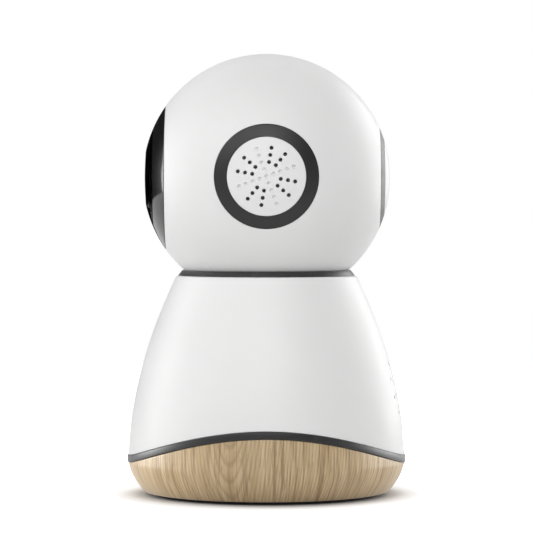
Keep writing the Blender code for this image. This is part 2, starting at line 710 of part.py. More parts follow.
def make_yoke_fittings(pan):
    """Two pins that the ball tilts on, the tilt motor, and the shield behind the slot."""
    section = [
        (0, 24.9 * MM), (4.2 * MM, 24.9 * MM), (4.2 * MM, 26.2 * MM), (PIN_RADIUS, 26.2 * MM),
        (PIN_RADIUS, 32.9 * MM), (0, 32.9 * MM),
    ]
    for side, direction in (("left", LEFT), ("right", RIGHT)):
        pin = turned(section, SMALL, direction, (0, 0, HEAD_CENTRE_Z))
        piece(f"tilt_pin_{side}", pin, pan, (0.6, 0.6, 0.62), 0.3, 1.0)
    motor_place = (0, 0, HEAD_CENTRE_Z - tilt_gear_distance())
    motor = rod(TILT_MOTOR_RADIUS, 13.6 * MM, 26.2 * MM, MIDDLE, RIGHT, motor_place)
    piece("tilt_motor", motor, pan, (0.55, 0.55, 0.57), 0.4, 1.0)
    shield = band_over_axis_x(
        SHIELD_HALF_WIDTH, SHIELD_RADIUS - SHIELD_WALL, SHIELD_RADIUS,
        -SHIELD_SWEEP / 2, SHIELD_SWEEP, 13,
    )
    bmesh.ops.translate(shield, vec=(0, 0, HEAD_CENTRE_Z), verts=shield.verts)
    shield = piece("dust_shield", shield, pan, WHITE, 0.4)
    cut(shield, rod(STEM_RADIUS + 0.4 * MM, 55 * MM, 66 * MM, SMALL))


def make_tilt_pinion(parent):
    """Drawn on its own axis, which runs along X through the right arm of the yoke."""
    # RIGHT turns the outline's +X into +Z
    outline = gear_outline(PINION_TEETH, TILT_MODULE, math.pi / PINION_TEETH)
    half = TILT_GEAR_WIDTH / 2
    pinion = piece(
        "tilt_pinion", prism(outline, -half, half, RIGHT), parent, (0.85, 0.83, 0.76), 0.45
    )
    shaft_end = HUB_FACE + half - 26.5 * MM
    add(pinion, rod(1.0 * MM, -shaft_end, 0, SMALL, RIGHT))


# ---------------------------------------------------------------- ball head, drawn from its centre

def make_head_shells(head):
    """Left and right halves of the ball, each with a pocket for a roundel and a hub on the axis."""
    seam = 0.15 * MM
    inside = HEAD_RADIUS - HEAD_WALL
    pocket = ROUNDEL_RADIUS + GAP
    underside = POCKET_FLOOR - POCKET_FLOOR_WALL
    bore = PIN_RADIUS + GAP
    section = sphere_arc(HEAD_RADIUS, math.sqrt(HEAD_RADIUS ** 2 - seam ** 2), pocket, 7)
    section += [
        (pocket, POCKET_FLOOR), (bore, POCKET_FLOOR), (bore, HUB_FACE), (HUB_RADIUS, HUB_FACE),
        (HUB_RADIUS, underside),
    ]
    floor_edge = math.sqrt(inside ** 2 - underside ** 2)
    section += sphere_arc(inside, floor_edge, math.sqrt(inside ** 2 - seam ** 2), 5)
    far = HEAD_RADIUS + 5 * MM
    for side, direction in (("left", LEFT), ("right", RIGHT)):
        shell = piece(f"head_shell_{side}", turned(section, LARGE, direction), head, WHITE, 0.35)
        cut(shell, box((-far, -far, -far), (far, -FACE_PLANE, far)))
        cut(shell, rod(ROUNDEL_RADIUS + GAP, 28 * MM, far, MIDDLE, BACK))
        cut(shell, band_over_axis_x(
            SLOT_HALF_WIDTH, inside - 2 * MM, far,
            -TILT_UP - SLOT_END_ROOM, TILT_UP + TILT_DOWN + 2 * SLOT_END_ROOM, 10,
        ))


def make_roundels(head):
    """Dark ring and white disc on each side and at the back, flush with the ball."""
    floor = POCKET_FLOOR + GAP
    ring_inner = ROUNDEL_DISC_RADIUS + 0.15 * MM
    disc_outer = ROUNDEL_DISC_RADIUS - 0.15 * MM
    ring = [(ring_inner, floor), (ROUNDEL_RADIUS, floor)]
    ring += sphere_arc(HEAD_RADIUS, ROUNDEL_RADIUS, ring_inner, 3)
    disc = [(0, 36.0 * MM), (9.1 * MM, 34.9 * MM), (10.2 * MM, floor), (disc_outer, floor)]
    disc += sphere_arc(HEAD_RADIUS, disc_outer, 0, 5)
    for side, direction, across in (("left", LEFT, 1), ("right", RIGHT, -1)):
        piece(f"side_ring_{side}", turned(ring, MIDDLE, direction), head, CHARCOAL, 0.45)
        plate = piece(f"side_disc_{side}", turned(disc, MIDDLE, direction), head, WHITE, 0.4)
        places = star_places(STAR_ARMS, STAR_PITCH, (2, 3, 4), STAR_TURN, 3)
        cut(plate, joined([
            rod(STAR_HOLE_RADIUS, 32 * MM, 39 * MM, 5, direction, (0, across * y, z))
            for y, z in places
        ]))
    microphone = rod(2.5 * MM, POCKET_FLOOR + GAP, 35.2 * MM, SMALL, LEFT)
    piece("microphone", microphone, head, (0.7, 0.6, 0.4), 0.35, 1.0)

    behind = HEAD_RADIUS - REAR_ROUNDEL_DEPTH
    rear_ring = sphere_arc(behind, ring_inner, ROUNDEL_RADIUS, 2)
    rear_ring += sphere_arc(HEAD_RADIUS, ROUNDEL_RADIUS, ring_inner, 3)
    piece("rear_ring", turned(rear_ring, MIDDLE, BACK), head, CHARCOAL, 0.45)
    rear_cap = sphere_arc(behind, 0, disc_outer, 4) + sphere_arc(HEAD_RADIUS, disc_outer, 0, 5)
    piece("rear_cap", turned(rear_cap, MIDDLE, BACK), head, WHITE, 0.35)


def make_face(head):
    """Black bezel, smoked window and lens cover, which carry the ball's curve across the front."""
    bezel_back = FACE_PLANE + 0.32 * MM
    inner = WINDOW_RADIUS + 0.15 * MM
    bezel = sphere_arc(HEAD_RADIUS, BEZEL_RADIUS, inner, 4)
    bezel += [(inner, 32.4 * MM), (17.6 * MM, bezel_back)]
    piece("face_bezel", turned(bezel, LARGE, FRONT), head, BLACK, 0.12)
    window_outer = WINDOW_RADIUS - 0.15 * MM
    window_inner = LENS_COVER_RADIUS + 0.15 * MM
    window = sphere_arc(HEAD_RADIUS, window_outer, window_inner, 4)
    window += [(window_inner, 35.1 * MM), (window_outer, 32.9 * MM)]
    piece("face_window", turned(window, LARGE, FRONT), head, BLACK, 0.08)
    edge = LENS_COVER_RADIUS - 0.15 * MM
    cover = [(0, 35.9 * MM), (edge, 35.1 * MM), (edge, LENS_COVER_EDGE)]
    middle = (0, LENS_COVER_FRONT)
    cover += quadratic((edge, LENS_COVER_EDGE), (edge / 2, LENS_COVER_FRONT), middle, 4)
    piece("lens_cover", turned(cover, MIDDLE, FRONT), head, (0.02, 0.02, 0.025), 0.05)


def make_camera(head):
    """Lens, its holder and sensor board, and the ring of infrared lamps round the lens."""
    barrel = [
        (0, 19.5), (6.2, 19.5), (6.2, 31.3), (7.9, 32.3), (7.9, 34.4), (5.5, 34.4), (5.2, 31.2), (0, 31.2),
    ]
    glass = [(0, 31.5), (4.9, 31.5), (4.9, 33.2), (3.6, 34.2), (1.9, 34.75), (0, 34.9)]
    for name, section, colour, roughness in (
        ("lens_barrel", barrel, BLACK, 0.4),
        ("front_lens", glass, (0.03, 0.03, 0.06), 0.03),
    ):
        points = [(radius * MM, depth * MM) for radius, depth in section]
        piece(name, turned(points, MIDDLE, FRONT), head, colour, roughness)
    holder = piece(
        "lens_holder",
        box((-8 * MM, -27.5 * MM, -8 * MM), (8 * MM, -19.5 * MM, 8 * MM)),
        head, (0.05, 0.05, 0.05), 0.5,
    )
    cut(holder, rod(6.5 * MM, 18 * MM, 29 * MM, MIDDLE, FRONT))
    board = box((-13 * MM, -19.2 * MM, -13 * MM), (13 * MM, -17.8 * MM, 13 * MM))
    piece("sensor_board", board, head, (0.03, 0.16, 0.07), 0.5)
    lamp_board = tube(8.9 * MM, 13.6 * MM, 30.3 * MM, 31.3 * MM, MIDDLE, FRONT)
    piece("lamp_board", lamp_board, head, (0.02, 0.02, 0.02), 0.5)
    for number in range(LAMPS):
        angle = math.tau * number / LAMPS
        place = (LAMP_CIRCLE * math.sin(angle), 0, LAMP_CIRCLE * math.cos(angle))
        lamp = rod(1.4 * MM, 31.6 * MM, 33.2 * MM, TINY, FRONT, place)
        piece(f"infrared_lamp_{number + 1}", lamp, head, (0.12, 0.03, 0.05), 0.1)


def make_tilt_gear(head):
    """Gear on the right hub: one of its teeth points straight down, into a gap of the pinion."""
    outline = gear_outline(TILT_TEETH, TILT_MODULE)
    low = HUB_FACE
    gear = piece(
        "tilt_gear", prism(outline, low, low + TILT_GEAR_WIDTH, RIGHT), head, (0.85, 0.83, 0.76), 0.45
    )
    cut(gear, rod(HUB_RADIUS + GAP, 28 * MM, 33 * MM, MIDDLE, RIGHT))


# ---------------------------------------------------------------- assembly

def main():
    clear_scene()
    base = axis_empty("base_origin")
    make_body_shell(base)
    make_wave_trim(base)
    make_wood_base(base)
    make_neck_ring(base)
    make_underside(base)
    make_base_frame(base)
    make_electronics(base)
    make_bearing_plate(base)
    make_pan_motor(base)

    reset = axis_empty("reset_axis", (*RESET_PLACE, FLOOR_Z + 0.4 * MM), base)
    make_reset_button(reset)

    pan_pinion = axis_empty("pan_pinion_axis", pan_pinion_place() + UP * PAN_GEAR_Z, base)
    make_pan_pinion(pan_pinion)

    pan = axis_empty("pan_axis", (0, 0, 0), base)
    make_turntable(pan)
    make_yoke(pan)
    make_yoke_fittings(pan)

    gear_middle = HUB_FACE + TILT_GEAR_WIDTH / 2
    pinion_z = HEAD_CENTRE_Z - tilt_gear_distance()
    tilt_pinion = axis_empty("tilt_pinion_axis", (-gear_middle, 0, pinion_z), pan)
    make_tilt_pinion(tilt_pinion)

    head = axis_empty("tilt_axis", (0, 0, HEAD_CENTRE_Z), pan)
    make_head_shells(head)
    make_roundels(head)
    make_face(head)
    make_camera(head)
    make_tilt_gear(head)


main()
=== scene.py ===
"""Ball-head nursery camera: its visible pieces and finishes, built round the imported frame.

Metres, +Z up. The lens looks along -Y, so +X is the camera's own left. Pieces of the ball are drawn
from the ball's centre and then lifted to it.
"""

import math

import bmesh
import bpy
from mathutils import Matrix, Vector


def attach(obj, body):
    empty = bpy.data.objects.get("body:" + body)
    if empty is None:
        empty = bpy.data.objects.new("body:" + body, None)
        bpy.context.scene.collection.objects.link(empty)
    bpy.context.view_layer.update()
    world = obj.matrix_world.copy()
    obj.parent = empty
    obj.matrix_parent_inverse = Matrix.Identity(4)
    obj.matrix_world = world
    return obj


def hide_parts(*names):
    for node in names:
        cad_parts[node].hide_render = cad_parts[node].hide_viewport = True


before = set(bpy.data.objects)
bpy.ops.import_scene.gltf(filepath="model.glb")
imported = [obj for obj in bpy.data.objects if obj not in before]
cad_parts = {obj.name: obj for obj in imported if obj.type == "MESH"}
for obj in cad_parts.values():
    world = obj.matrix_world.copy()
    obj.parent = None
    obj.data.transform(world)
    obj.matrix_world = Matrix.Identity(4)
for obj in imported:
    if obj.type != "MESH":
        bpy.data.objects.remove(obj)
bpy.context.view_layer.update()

MM = 0.001
LEFT = Vector((1, 0, 0))
RIGHT = Vector((-1, 0, 0))
FRONT = Vector((0, -1, 0))
BACK = Vector((0, 1, 0))
UP = Vector((0, 0, 1))

# Ball head
HEAD_RADIUS = 37.5 * MM
HEAD_WALL = 2.0 * MM
CENTRE = Vector((0, 0, 96.05 * MM))
FACE_PLANE = 30.4 * MM
BEZEL_RADIUS = 21.72 * MM
WINDOW_RADIUS = 15.35 * MM
COVER_RADIUS = 8.35 * MM
COVER_EDGE = 36.5 * MM
COVER_FRONT = 36.9 * MM
ROUNDEL_RADIUS = 15.4 * MM
DISC_RADIUS = 11.6 * MM
POCKET_FLOOR = 33.2 * MM
STAR_TURN = math.radians(20)
STAR_ARMS = 12
STAR_PITCH = 2.12 * MM
STAR_HOLE = 0.57 * MM
HOLE_FLARE = 0.09 * MM
DIMPLE_RADIUS = 0.6 * MM
DIMPLE_SUNK = 0.08 * MM
LAMP_CIRCLE = 11.2 * MM
SLOT_HALF_WIDTH = 3.7 * MM
SLOT_REAR = math.radians(-41.5)
SLOT_SWEEP = math.radians(58)
# Where the tools that cut the ball end
PAST_BALL = HEAD_RADIUS + 5 * MM

# Body
NECK_RADIUS = 27.3 * MM
WAIST_RADIUS = 41.9 * MM
NECK_Z = 66.4 * MM
BELLY_Z = 36.0 * MM
WAIST_Z = 10.0 * MM
WALL = 2.2 * MM
WAVE_MID_Z = 15.9 * MM
WAVE_RISE = 4.95 * MM
WAVE_HALF = 1.1 * MM
WAVE_PROUD = 0.3 * MM
FOOT_BEND = (41.0 * MM, 5.2 * MM)
FOOT_EDGE = (37.2 * MM, 1.2 * MM)
FLOOR_Z = 1.0 * MM
SEAM = 0.05 * MM

# Underside and the openings of the body
PLATE_RADIUS = 28.5 * MM
LEG_CIRCLE = 24.0 * MM
LEG_ANGLES = [math.radians(a) for a in (60, 180, 300)]
INSERT_RADIUS = 4.6 * MM
INSERT_BORE = 2.7 * MM
THREAD_PITCH = 1.27 * MM
RESET = Vector((6.0, -16.0, 0)) * MM
SPEAKER_Z = 31.8 * MM
GRILLE_PITCH = 2.6 * MM
GRILLE_HOLE = 0.6 * MM
STATUS_Z = 24.0 * MM
SOCKET_Z = 16.05 * MM
SOCKET_FACE = 36.8 * MM
SOCKET_OPENING = (5.4 * MM, 2.8 * MM, 1.3 * MM)

# Steps round a turned piece
ROUND = 192
MEDIUM = 96
FINE = 48
SMALL = 20


# ---------------------------------------------------------------- shapes

def aim(bm, direction, place=(0, 0, 0)):
    """Turns a shape drawn along +Z to look along direction, and moves it to its place."""
    turn = UP.rotation_difference(direction).to_matrix().to_4x4()
    bmesh.ops.transform(bm, matrix=Matrix.Translation(place) @ turn, verts=bm.verts)
    return bm


def turned(section, steps, direction=UP, place=(0, 0, 0)):
    """A turned solid. The section is (radius, height) points, closed, or open from axis to axis."""
    bm = bmesh.new()
    points = [bm.verts.new((radius, 0, height)) for radius, height in section]
    edges = [bm.edges.new(pair) for pair in zip(points, points[1:])]
    if section[0][0] > 0:
        edges.append(bm.edges.new((points[-1], points[0])))
    bmesh.ops.spin(
        bm, geom=points + edges, cent=(0, 0, 0), axis=UP, angle=math.tau, steps=steps,
        use_merge=True,
    )
    bmesh.ops.remove_doubles(bm, verts=bm.verts, dist=1e-7)
    bmesh.ops.recalc_face_normals(bm, faces=bm.faces)
    return aim(bm, direction, place)


def rod(radius, low, high, steps, direction=UP, place=(0, 0, 0)):
    """A plain round bar from low to high along a direction."""
    return turned([(0, low), (radius, low), (radius, high), (0, high)], steps, direction, place)


def box(low, high):
    """A block between two opposite corners."""
    bm = bmesh.new()
    bmesh.ops.create_cube(bm, size=1)
    bmesh.ops.scale(bm, vec=Vector(high) - Vector(low), verts=bm.verts)
    bmesh.ops.translate(bm, vec=(Vector(high) + Vector(low)) / 2, verts=bm.verts)
    return bm


def soften(bm, width, segments=3, where=None, sharper=35):
    """Rounds the edges sharper than an angle, or those of them that a test picks by their middle."""
    edges = []
    for edge in bm.edges:
        if not edge.is_manifold or edge.calc_face_angle() < math.radians(sharper):
            continue
        middle = (edge.verts[0].co + edge.verts[1].co) / 2
        if where is None or where(middle):
            edges.append(edge)
    bmesh.ops.bevel(
        bm, geom=edges, offset=width, offset_type="OFFSET", segments=segments, profile=0.5,
        affect="EDGES", clamp_overlap=True, material=-1,
    )
    return bm


def joined(shapes):
    """Several shapes as one mesh."""
    whole = bmesh.new()
    for shape in shapes:
        mesh = bpy.data.meshes.new("part_of_joined")
        shape.to_mesh(mesh)
        shape.free()
        whole.from_mesh(mesh)
        bpy.data.meshes.remove(mesh)
    return whole


def loose_object(bm):
    """A shape as an object of its own, for a modifier to work on."""
    mesh = bpy.data.meshes.new("tool")
    bm.to_mesh(mesh)
    bm.free()
    obj = bpy.data.objects.new("tool", mesh)
    bpy.context.scene.collection.objects.link(obj)
    return obj


def carved(bm, tools, operation="DIFFERENCE"):
    """The shape with tools taken out of it, or added to it. The tools don't touch each other."""
    target = loose_object(bm)
    tool = loose_object(joined(tools))
    modifier = target.modifiers.new("tool", "BOOLEAN")
    modifier.operation = operation
    modifier.object = tool
    result = bmesh.new()
    result.from_object(target, bpy.context.evaluated_depsgraph_get())
    for obj in (target, tool):
        mesh = obj.data
        bpy.data.objects.remove(obj)
        bpy.data.meshes.remove(mesh)
    bmesh.ops.remove_doubles(result, verts=result.verts, dist=2e-7)
    return result


def lifted(bm):
    """Moves a shape that is drawn from the ball's centre to its place."""
    bmesh.ops.translate(bm, vec=CENTRE, verts=bm.verts)
    return bm


def on_circle(radius, angle, height=0.0):
    """A point on a circle round the upright axis."""
    return Vector((radius * math.cos(angle), radius * math.sin(angle), height))


def ball_depth(radius):
    """How far out along an axis the ball's surface is, at a distance from that axis."""
    return math.sqrt(HEAD_RADIUS ** 2 - radius ** 2)


def ball_arc(start, end, steps, radius=HEAD_RADIUS):
    """(distance off the axis, depth) points along a ball's surface."""
    first = math.asin(start / radius)
    last = math.asin(end / radius)
    angles = [first + (last - first) * i / steps for i in range(steps + 1)]
    return [(radius * math.sin(a), radius * math.cos(a)) for a in angles]


def curve(start, middle, end, steps):
    """Points along a curve with one control point, with both ends."""
    found = []
    for i in range(steps + 1):
        t = i / steps
        weights = ((1 - t) ** 2, 2 * t * (1 - t), t ** 2)
        found.append(tuple(
            sum(w * point[axis] for w, point in zip(weights, (start, middle, end)))
            for axis in (0, 1)
        ))
    return found


def band_over_axis_x(half_width, inner, outer, start, sweep, steps):
    """A band bent round the X axis. Angles run from straight down, towards the front."""
    bm = bmesh.new()
    corners = [(-half_width, inner), (half_width, inner), (half_width, outer), (-half_width, outer)]
    ring = [bm.verts.new((x, 0, -radius)) for x, radius in corners]
    edges = [bm.edges.new((ring[i], ring[(i + 1) % 4])) for i in range(4)]
    bmesh.ops.rotate(bm, cent=(0, 0, 0), matrix=Matrix.Rotation(-start, 3, "X"), verts=bm.verts)
    bmesh.ops.spin(
        bm, geom=ring + edges, cent=(0, 0, 0), axis=RIGHT, angle=sweep, steps=steps,
    )
    open_edges = [edge for edge in bm.edges if edge.is_boundary]
    bmesh.ops.holes_fill(bm, edges=open_edges, sides=4)
    bmesh.ops.recalc_face_normals(bm, faces=bm.faces)
    return bm


def rounded_slab(half_width, half_height, corner, low, high, steps=6):
    """A slab with rounded upright corners, lying in XY from low to high."""
    bm = box((-half_width, -half_height, low), (half_width, half_height, high))
    upright = [e for e in bm.edges if abs(e.verts[0].co.z - e.verts[1].co.z) > (high - low) / 2]
    bmesh.ops.bevel(
        bm, geom=upright, offset=corner, offset_type="OFFSET", segments=steps, profile=0.5,
        affect="EDGES", clamp_overlap=True, material=-1,
    )
    return bm


def star_places(pitch, rings, arms):
    """Places of a star's holes: along each arm, at each of the rings."""
    places = []
    for arm in arms:
        angle = STAR_TURN + arm * math.tau / STAR_ARMS
        for ring in rings:
            places.append((ring * pitch * math.cos(angle), ring * pitch * math.sin(angle)))
    return places


def side_radius(z):
    """Radius of the body's outside at a height, from its neck down to the foot."""
    if z < WAIST_Z:
        a = WAIST_Z - 2 * FOOT_BEND[1] + FOOT_EDGE[1]
        b = 2 * (FOOT_BEND[1] - WAIST_Z)
        t = (-b - math.sqrt(b * b - 4 * a * (WAIST_Z - z))) / (2 * a)
        weights = ((1 - t) ** 2, 2 * t * (1 - t), t ** 2)
        return sum(w * r for w, r in zip(weights, (WAIST_RADIUS, FOOT_BEND[0], FOOT_EDGE[0])))
    bend = NECK_Z - 2 * BELLY_Z + WAIST_Z
    slope = 2 * (NECK_Z - BELLY_Z)
    t = (slope - math.sqrt(slope ** 2 - 4 * bend * (NECK_Z - z))) / (2 * bend)
    return WAIST_RADIUS - (WAIST_RADIUS - NECK_RADIUS) * (1 - t) ** 2


def on_outside(spot):
    """Whether a point is within a millimetre of the body's outside."""
    return spot.xy.length > side_radius(spot.z) - MM


def follow_wave(bm, fixed_z, drawn_z, offset):
    """Stretches a turned wall between a fixed height and drawn_z, so that its edge meets the wave."""
    for vertex in bm.verts:
        share = (vertex.co.z - fixed_z) / (drawn_z - fixed_z)
        if share <= 0:
            continue
        angle = math.atan2(vertex.co.y, vertex.co.x)
        edge = WAVE_MID_Z + WAVE_RISE * math.cos(2 * angle) + offset
        z = fixed_z + share * (edge - fixed_z)
        radius = vertex.co.xy.length
        moved = radius + side_radius(z) - side_radius(vertex.co.z)
        vertex.co = (vertex.co.x * moved / radius, vertex.co.y * moved / radius, z)
    return bm


# ---------------------------------------------------------------- finishes

def new_finish(name, colour, roughness, **sockets):
    """A material and its shader; sockets are the shader's other constants, by their plain names."""
    made = bpy.data.materials.new(name)
    made.use_nodes = True
    shader = made.node_tree.nodes["Principled BSDF"]
    shader.inputs["Base Color"].default_value = (*colour, 1)
    shader.inputs["Roughness"].default_value = roughness
    for socket, value in sockets.items():
        shader.inputs[socket.replace("_", " ")].default_value = value
    return made, shader


def node(made, kind, inputs=None, **settings):
    """A node, its settings, and its inputs as values or as links from other sockets."""
    new = made.node_tree.nodes.new(kind)
    for key, value in settings.items():
        setattr(new, key, value)
    for key, value in (inputs or {}).items():
        if isinstance(value, bpy.types.NodeSocket):
            made.node_tree.links.new(value, new.inputs[key])
        else:
            new.inputs[key].default_value = value
    return new


def link(made, source, target):
    """Joins one socket to another."""
    made.node_tree.links.new(source, target)


def place(made, scale=(1, 1, 1), attribute=None, location=(0, 0, 0), rotation=(0, 0, 0)):
    """Where a pattern is read: Object coordinates, or a named attribute of the piece."""
    if attribute:
        source = node(made, "ShaderNodeAttribute", attribute_name=attribute).outputs["Vector"]
    else:
        source = node(made, "ShaderNodeTexCoord").outputs["Object"]
    inputs = {"Vector": source, "Scale": scale, "Location": location, "Rotation": rotation}
    return node(made, "ShaderNodeMapping", inputs).outputs["Vector"]


def noise(made, vector, scale, detail, roughness):
    """A grey noise pattern."""
    inputs = {"Vector": vector, "Scale": scale, "Detail": detail, "Roughness": roughness}
    return node(made, "ShaderNodeTexNoise", inputs).outputs["Fac"]


def ramp(made, factor, stops):
    """A colour or grey ramp: stops are (position, colour), a colour being one grey or three numbers."""
    new = node(made, "ShaderNodeValToRGB", {"Fac": factor})
    points = new.color_ramp.elements
    while len(points) < len(stops):
        points.new(0.5)
    for point, (position, colour) in zip(points, stops):
        point.position = position
        rgb = colour if isinstance(colour, tuple) else (colour,) * 3
        point.color = (*rgb, 1)
    return new.outputs["Color"]


def spread(made, value, low, high, start=0.0, end=1.0):
    """Carries a value from the range start to end over to the range low to high."""
    inputs = {"Value": value, "From Min": start, "From Max": end, "To Min": low, "To Max": high}
    return node(made, "ShaderNodeMapRange", inputs).outputs["Result"]


def blended(made, factor, first, second, mode="MIX"):
    """Two colours mixed by a factor; each may be a constant or a link."""
    new = node(made, "ShaderNodeMix", data_type="RGBA", blend_type=mode)
    for key, value in ((0, factor), (6, first), (7, second)):
        if isinstance(value, bpy.types.NodeSocket):
            link(made, value, new.inputs[key])
        elif isinstance(value, tuple):
            new.inputs[key].default_value = (*value, 1)
        else:
            new.inputs[key].default_value = value
    return new.outputs[2]


def math_node(made, operation, first, second=0.0):
    """The result of one sum on values or links."""
    new = node(made, "ShaderNodeMath", {0: first, 1: second}, operation=operation)
    return new.outputs["Value"]


def bumped(made, shader, layers):
    """Bump layers, (height, depth in metres), stacked on the shader's normal."""
    normal = None
    for height, depth in layers:
        inputs = {"Height": height, "Distance": depth, "Strength": 1.0}
        if normal:
            inputs["Normal"] = normal
        normal = node(made, "ShaderNodeBump", inputs).outputs["Normal"]
    link(made, normal, shader.inputs["Normal"])


def rubbed_edges(made, colour, worn):
    """The colour, going over to a worn tone along convex edges."""
    point = node(made, "ShaderNodeNewGeometry").outputs["Pointiness"]
    return blended(made, spread(made, point, 0.0, 1.0, 0.51, 0.58), colour, worn)


def moulded(name, colour, roughness, grain=0.25, relief=0.004, tint=0.03, worn=0.04, **sockets):
    """Injection-moulded plastic: fine grain in mm, faint flow clouds, and slightly rubbed edges."""
    made, shader = new_finish(name, colour, roughness, **sockets)
    cloud = noise(made, place(made), 55, 4, 0.6)
    dark = tuple(c * (1 - tint) for c in colour)
    light = tuple(min(1.0, c * (1 + tint)) for c in colour)
    base = blended(made, spread(made, cloud, 0, 1, 0.3, 0.7), dark, light)
    paler = tuple(c + worn for c in colour)
    link(made, rubbed_edges(made, base, paler), shader.inputs["Base Color"])
    smear = noise(made, place(made), 140, 5, 0.65)
    link(
        made, spread(made, smear, roughness - 0.05, roughness + 0.06, 0.3, 0.7),
        shader.inputs["Roughness"],
    )
    texture = noise(made, place(made), 1 / (grain * MM), 2, 0.5)
    bumped(made, shader, [(smear, 0.003 * MM), (texture, relief * MM)])
    return made


def white_shell():
    return moulded(
        "white_satin_shell", (0.80, 0.80, 0.797), 0.42, grain=0.22, relief=0.004, tint=0.012,
        worn=0.03,
    )


def white_disc():
    return moulded(
        "white_disc_plastic", (0.80, 0.80, 0.80), 0.5, grain=0.16, relief=0.006, tint=0.015,
        worn=0.03,
    )


def charcoal():
    return moulded(
        "charcoal_fine_grain", (0.0205, 0.0205, 0.021), 0.40, grain=0.18, relief=0.01, tint=0.10,
        worn=0.012, Sheen_Weight=0.3, Sheen_Roughness=0.25,
    )


def inner_black():
    return moulded(
        "black_inner_moulding", (0.035, 0.036, 0.038), 0.55, grain=0.3, relief=0.012, tint=0.12,
        worn=0.025,
    )


def inner_white():
    return moulded("white_inner_moulding", (0.68, 0.68, 0.67), 0.5, grain=0.3, relief=0.01)


def gear_plastic():
    return moulded("acetal_gear", (0.74, 0.71, 0.62), 0.42, grain=0.4, relief=0.006, tint=0.04)


def button_grey():
    return moulded("reset_button_grey", (0.36, 0.37, 0.39), 0.5, grain=0.2, relief=0.01)


def foot_rubber():
    """Dusty black rubber with a fine speckle."""
    made, shader = new_finish("foot_rubber", (0.045, 0.048, 0.052), 0.85)
    speck = noise(made, place(made), 2500, 3, 0.6)
    link(
        made, ramp(made, speck, [(0.35, (0.036, 0.039, 0.043)), (0.7, (0.065, 0.068, 0.073))]),
        shader.inputs["Base Color"],
    )
    dust = noise(made, place(made), 160, 5, 0.7)
    link(made, spread(made, dust, 0.72, 0.95, 0.3, 0.7), shader.inputs["Roughness"])
    bumped(made, shader, [(speck, 0.03 * MM)])
    return made


def gloss_black():
    """Polished black plastic with the faintest orange peel, dust and fine wiping marks."""
    made, shader = new_finish(
        "polished_black", (0.010, 0.010, 0.011), 0.09, Coat_Weight=0.6, Coat_Roughness=0.03,
    )
    dust = noise(made, place(made), 1900, 4, 0.75)
    specks = spread(made, dust, 0.0, 1.0, 0.66, 0.74)
    link(
        made, blended(made, specks, (0.010, 0.010, 0.011), (0.05, 0.05, 0.052)),
        shader.inputs["Base Color"],
    )
    wipe = noise(made, place(made, (300, 60, 900)), 1, 4, 0.6)
    link(made, spread(made, wipe, 0.07, 0.15, 0.3, 0.75), shader.inputs["Roughness"])
    peel = noise(made, place(made), 420, 2, 0.5)
    bumped(made, shader, [(peel, 0.006 * MM)])
    return made


def smoked(name, colour, roughness):
    """Tinted clear plastic that lets a little of what is behind it through."""
    made, shader = new_finish(
        name, colour, roughness, Transmission_Weight=1.0, IOR=1.06, Specular_IOR_Level=0.3,
    )
    film = noise(made, place(made), 260, 4, 0.65)
    link(made, spread(made, film, roughness, roughness + 0.05, 0.35, 0.8), shader.inputs["Roughness"])
    shade = tuple(c * 0.85 for c in colour)
    link(made, blended(made, film, colour, shade), shader.inputs["Base Color"])
    bumped(made, shader, [(film, 0.001 * MM)])
    return made


def lens_glass():
    """Coated glass: deep violet face on, greenish at the rim."""
    made, shader = new_finish(
        "coated_lens_glass", (0.02, 0.012, 0.05), 0.03, Coat_Weight=1.0, Coat_Roughness=0.01,
    )
    facing = node(made, "ShaderNodeLayerWeight", {"Blend": 0.35}).outputs["Facing"]
    tone = ramp(made, facing, [
        (0.0, (0.028, 0.014, 0.075)), (0.45, (0.012, 0.03, 0.09)), (1.0, (0.01, 0.05, 0.04)),
    ])
    link(made, tone, shader.inputs["Base Color"])
    dust = noise(made, place(made), 2600, 4, 0.7)
    link(made, spread(made, dust, 0.02, 0.09, 0.4, 0.8), shader.inputs["Roughness"])
    return made


def lamp_epoxy():
    """Dark red resin of the infrared lamps."""
    made, shader = new_finish(
        "dark_lamp_epoxy", (0.055, 0.018, 0.03), 0.14, Coat_Weight=0.8, Coat_Roughness=0.05,
    )
    swirl = noise(made, place(made), 900, 3, 0.6)
    link(
        made, ramp(made, swirl, [(0.3, (0.04, 0.012, 0.022)), (0.75, (0.10, 0.03, 0.045))]),
        shader.inputs["Base Color"],
    )
    return made


def status_lens():
    """Milky clear plastic with a slight ripple."""
    made, shader = new_finish(
        "status_light_lens", (0.78, 0.82, 0.80), 0.3, Transmission_Weight=0.25, IOR=1.49,
    )
    ripple = noise(made, place(made), 1400, 2, 0.5)
    link(made, spread(made, ripple, 0.22, 0.4), shader.inputs["Roughness"])
    bumped(made, shader, [(ripple, 0.01 * MM)])
    return made


def metal(name, colour, roughness, scratch=(80, 80, 2500), depth=0.004):
    """Metal with tool marks round or along the piece, and slightly uneven tarnish."""
    made, shader = new_finish(name, colour, roughness, Metallic=1.0)
    marks = noise(made, place(made, scratch), 1, 4, 0.6)
    tarnish = noise(made, place(made), 220, 4, 0.65)
    dull = tuple(c * 0.78 for c in colour)
    link(
        made, blended(made, spread(made, tarnish, 0, 1, 0.35, 0.75), colour, dull),
        shader.inputs["Base Color"],
    )
    link(
        made, spread(made, marks, roughness - 0.08, roughness + 0.12, 0.25, 0.75),
        shader.inputs["Roughness"],
    )
    bumped(made, shader, [(marks, depth * MM)])
    return made


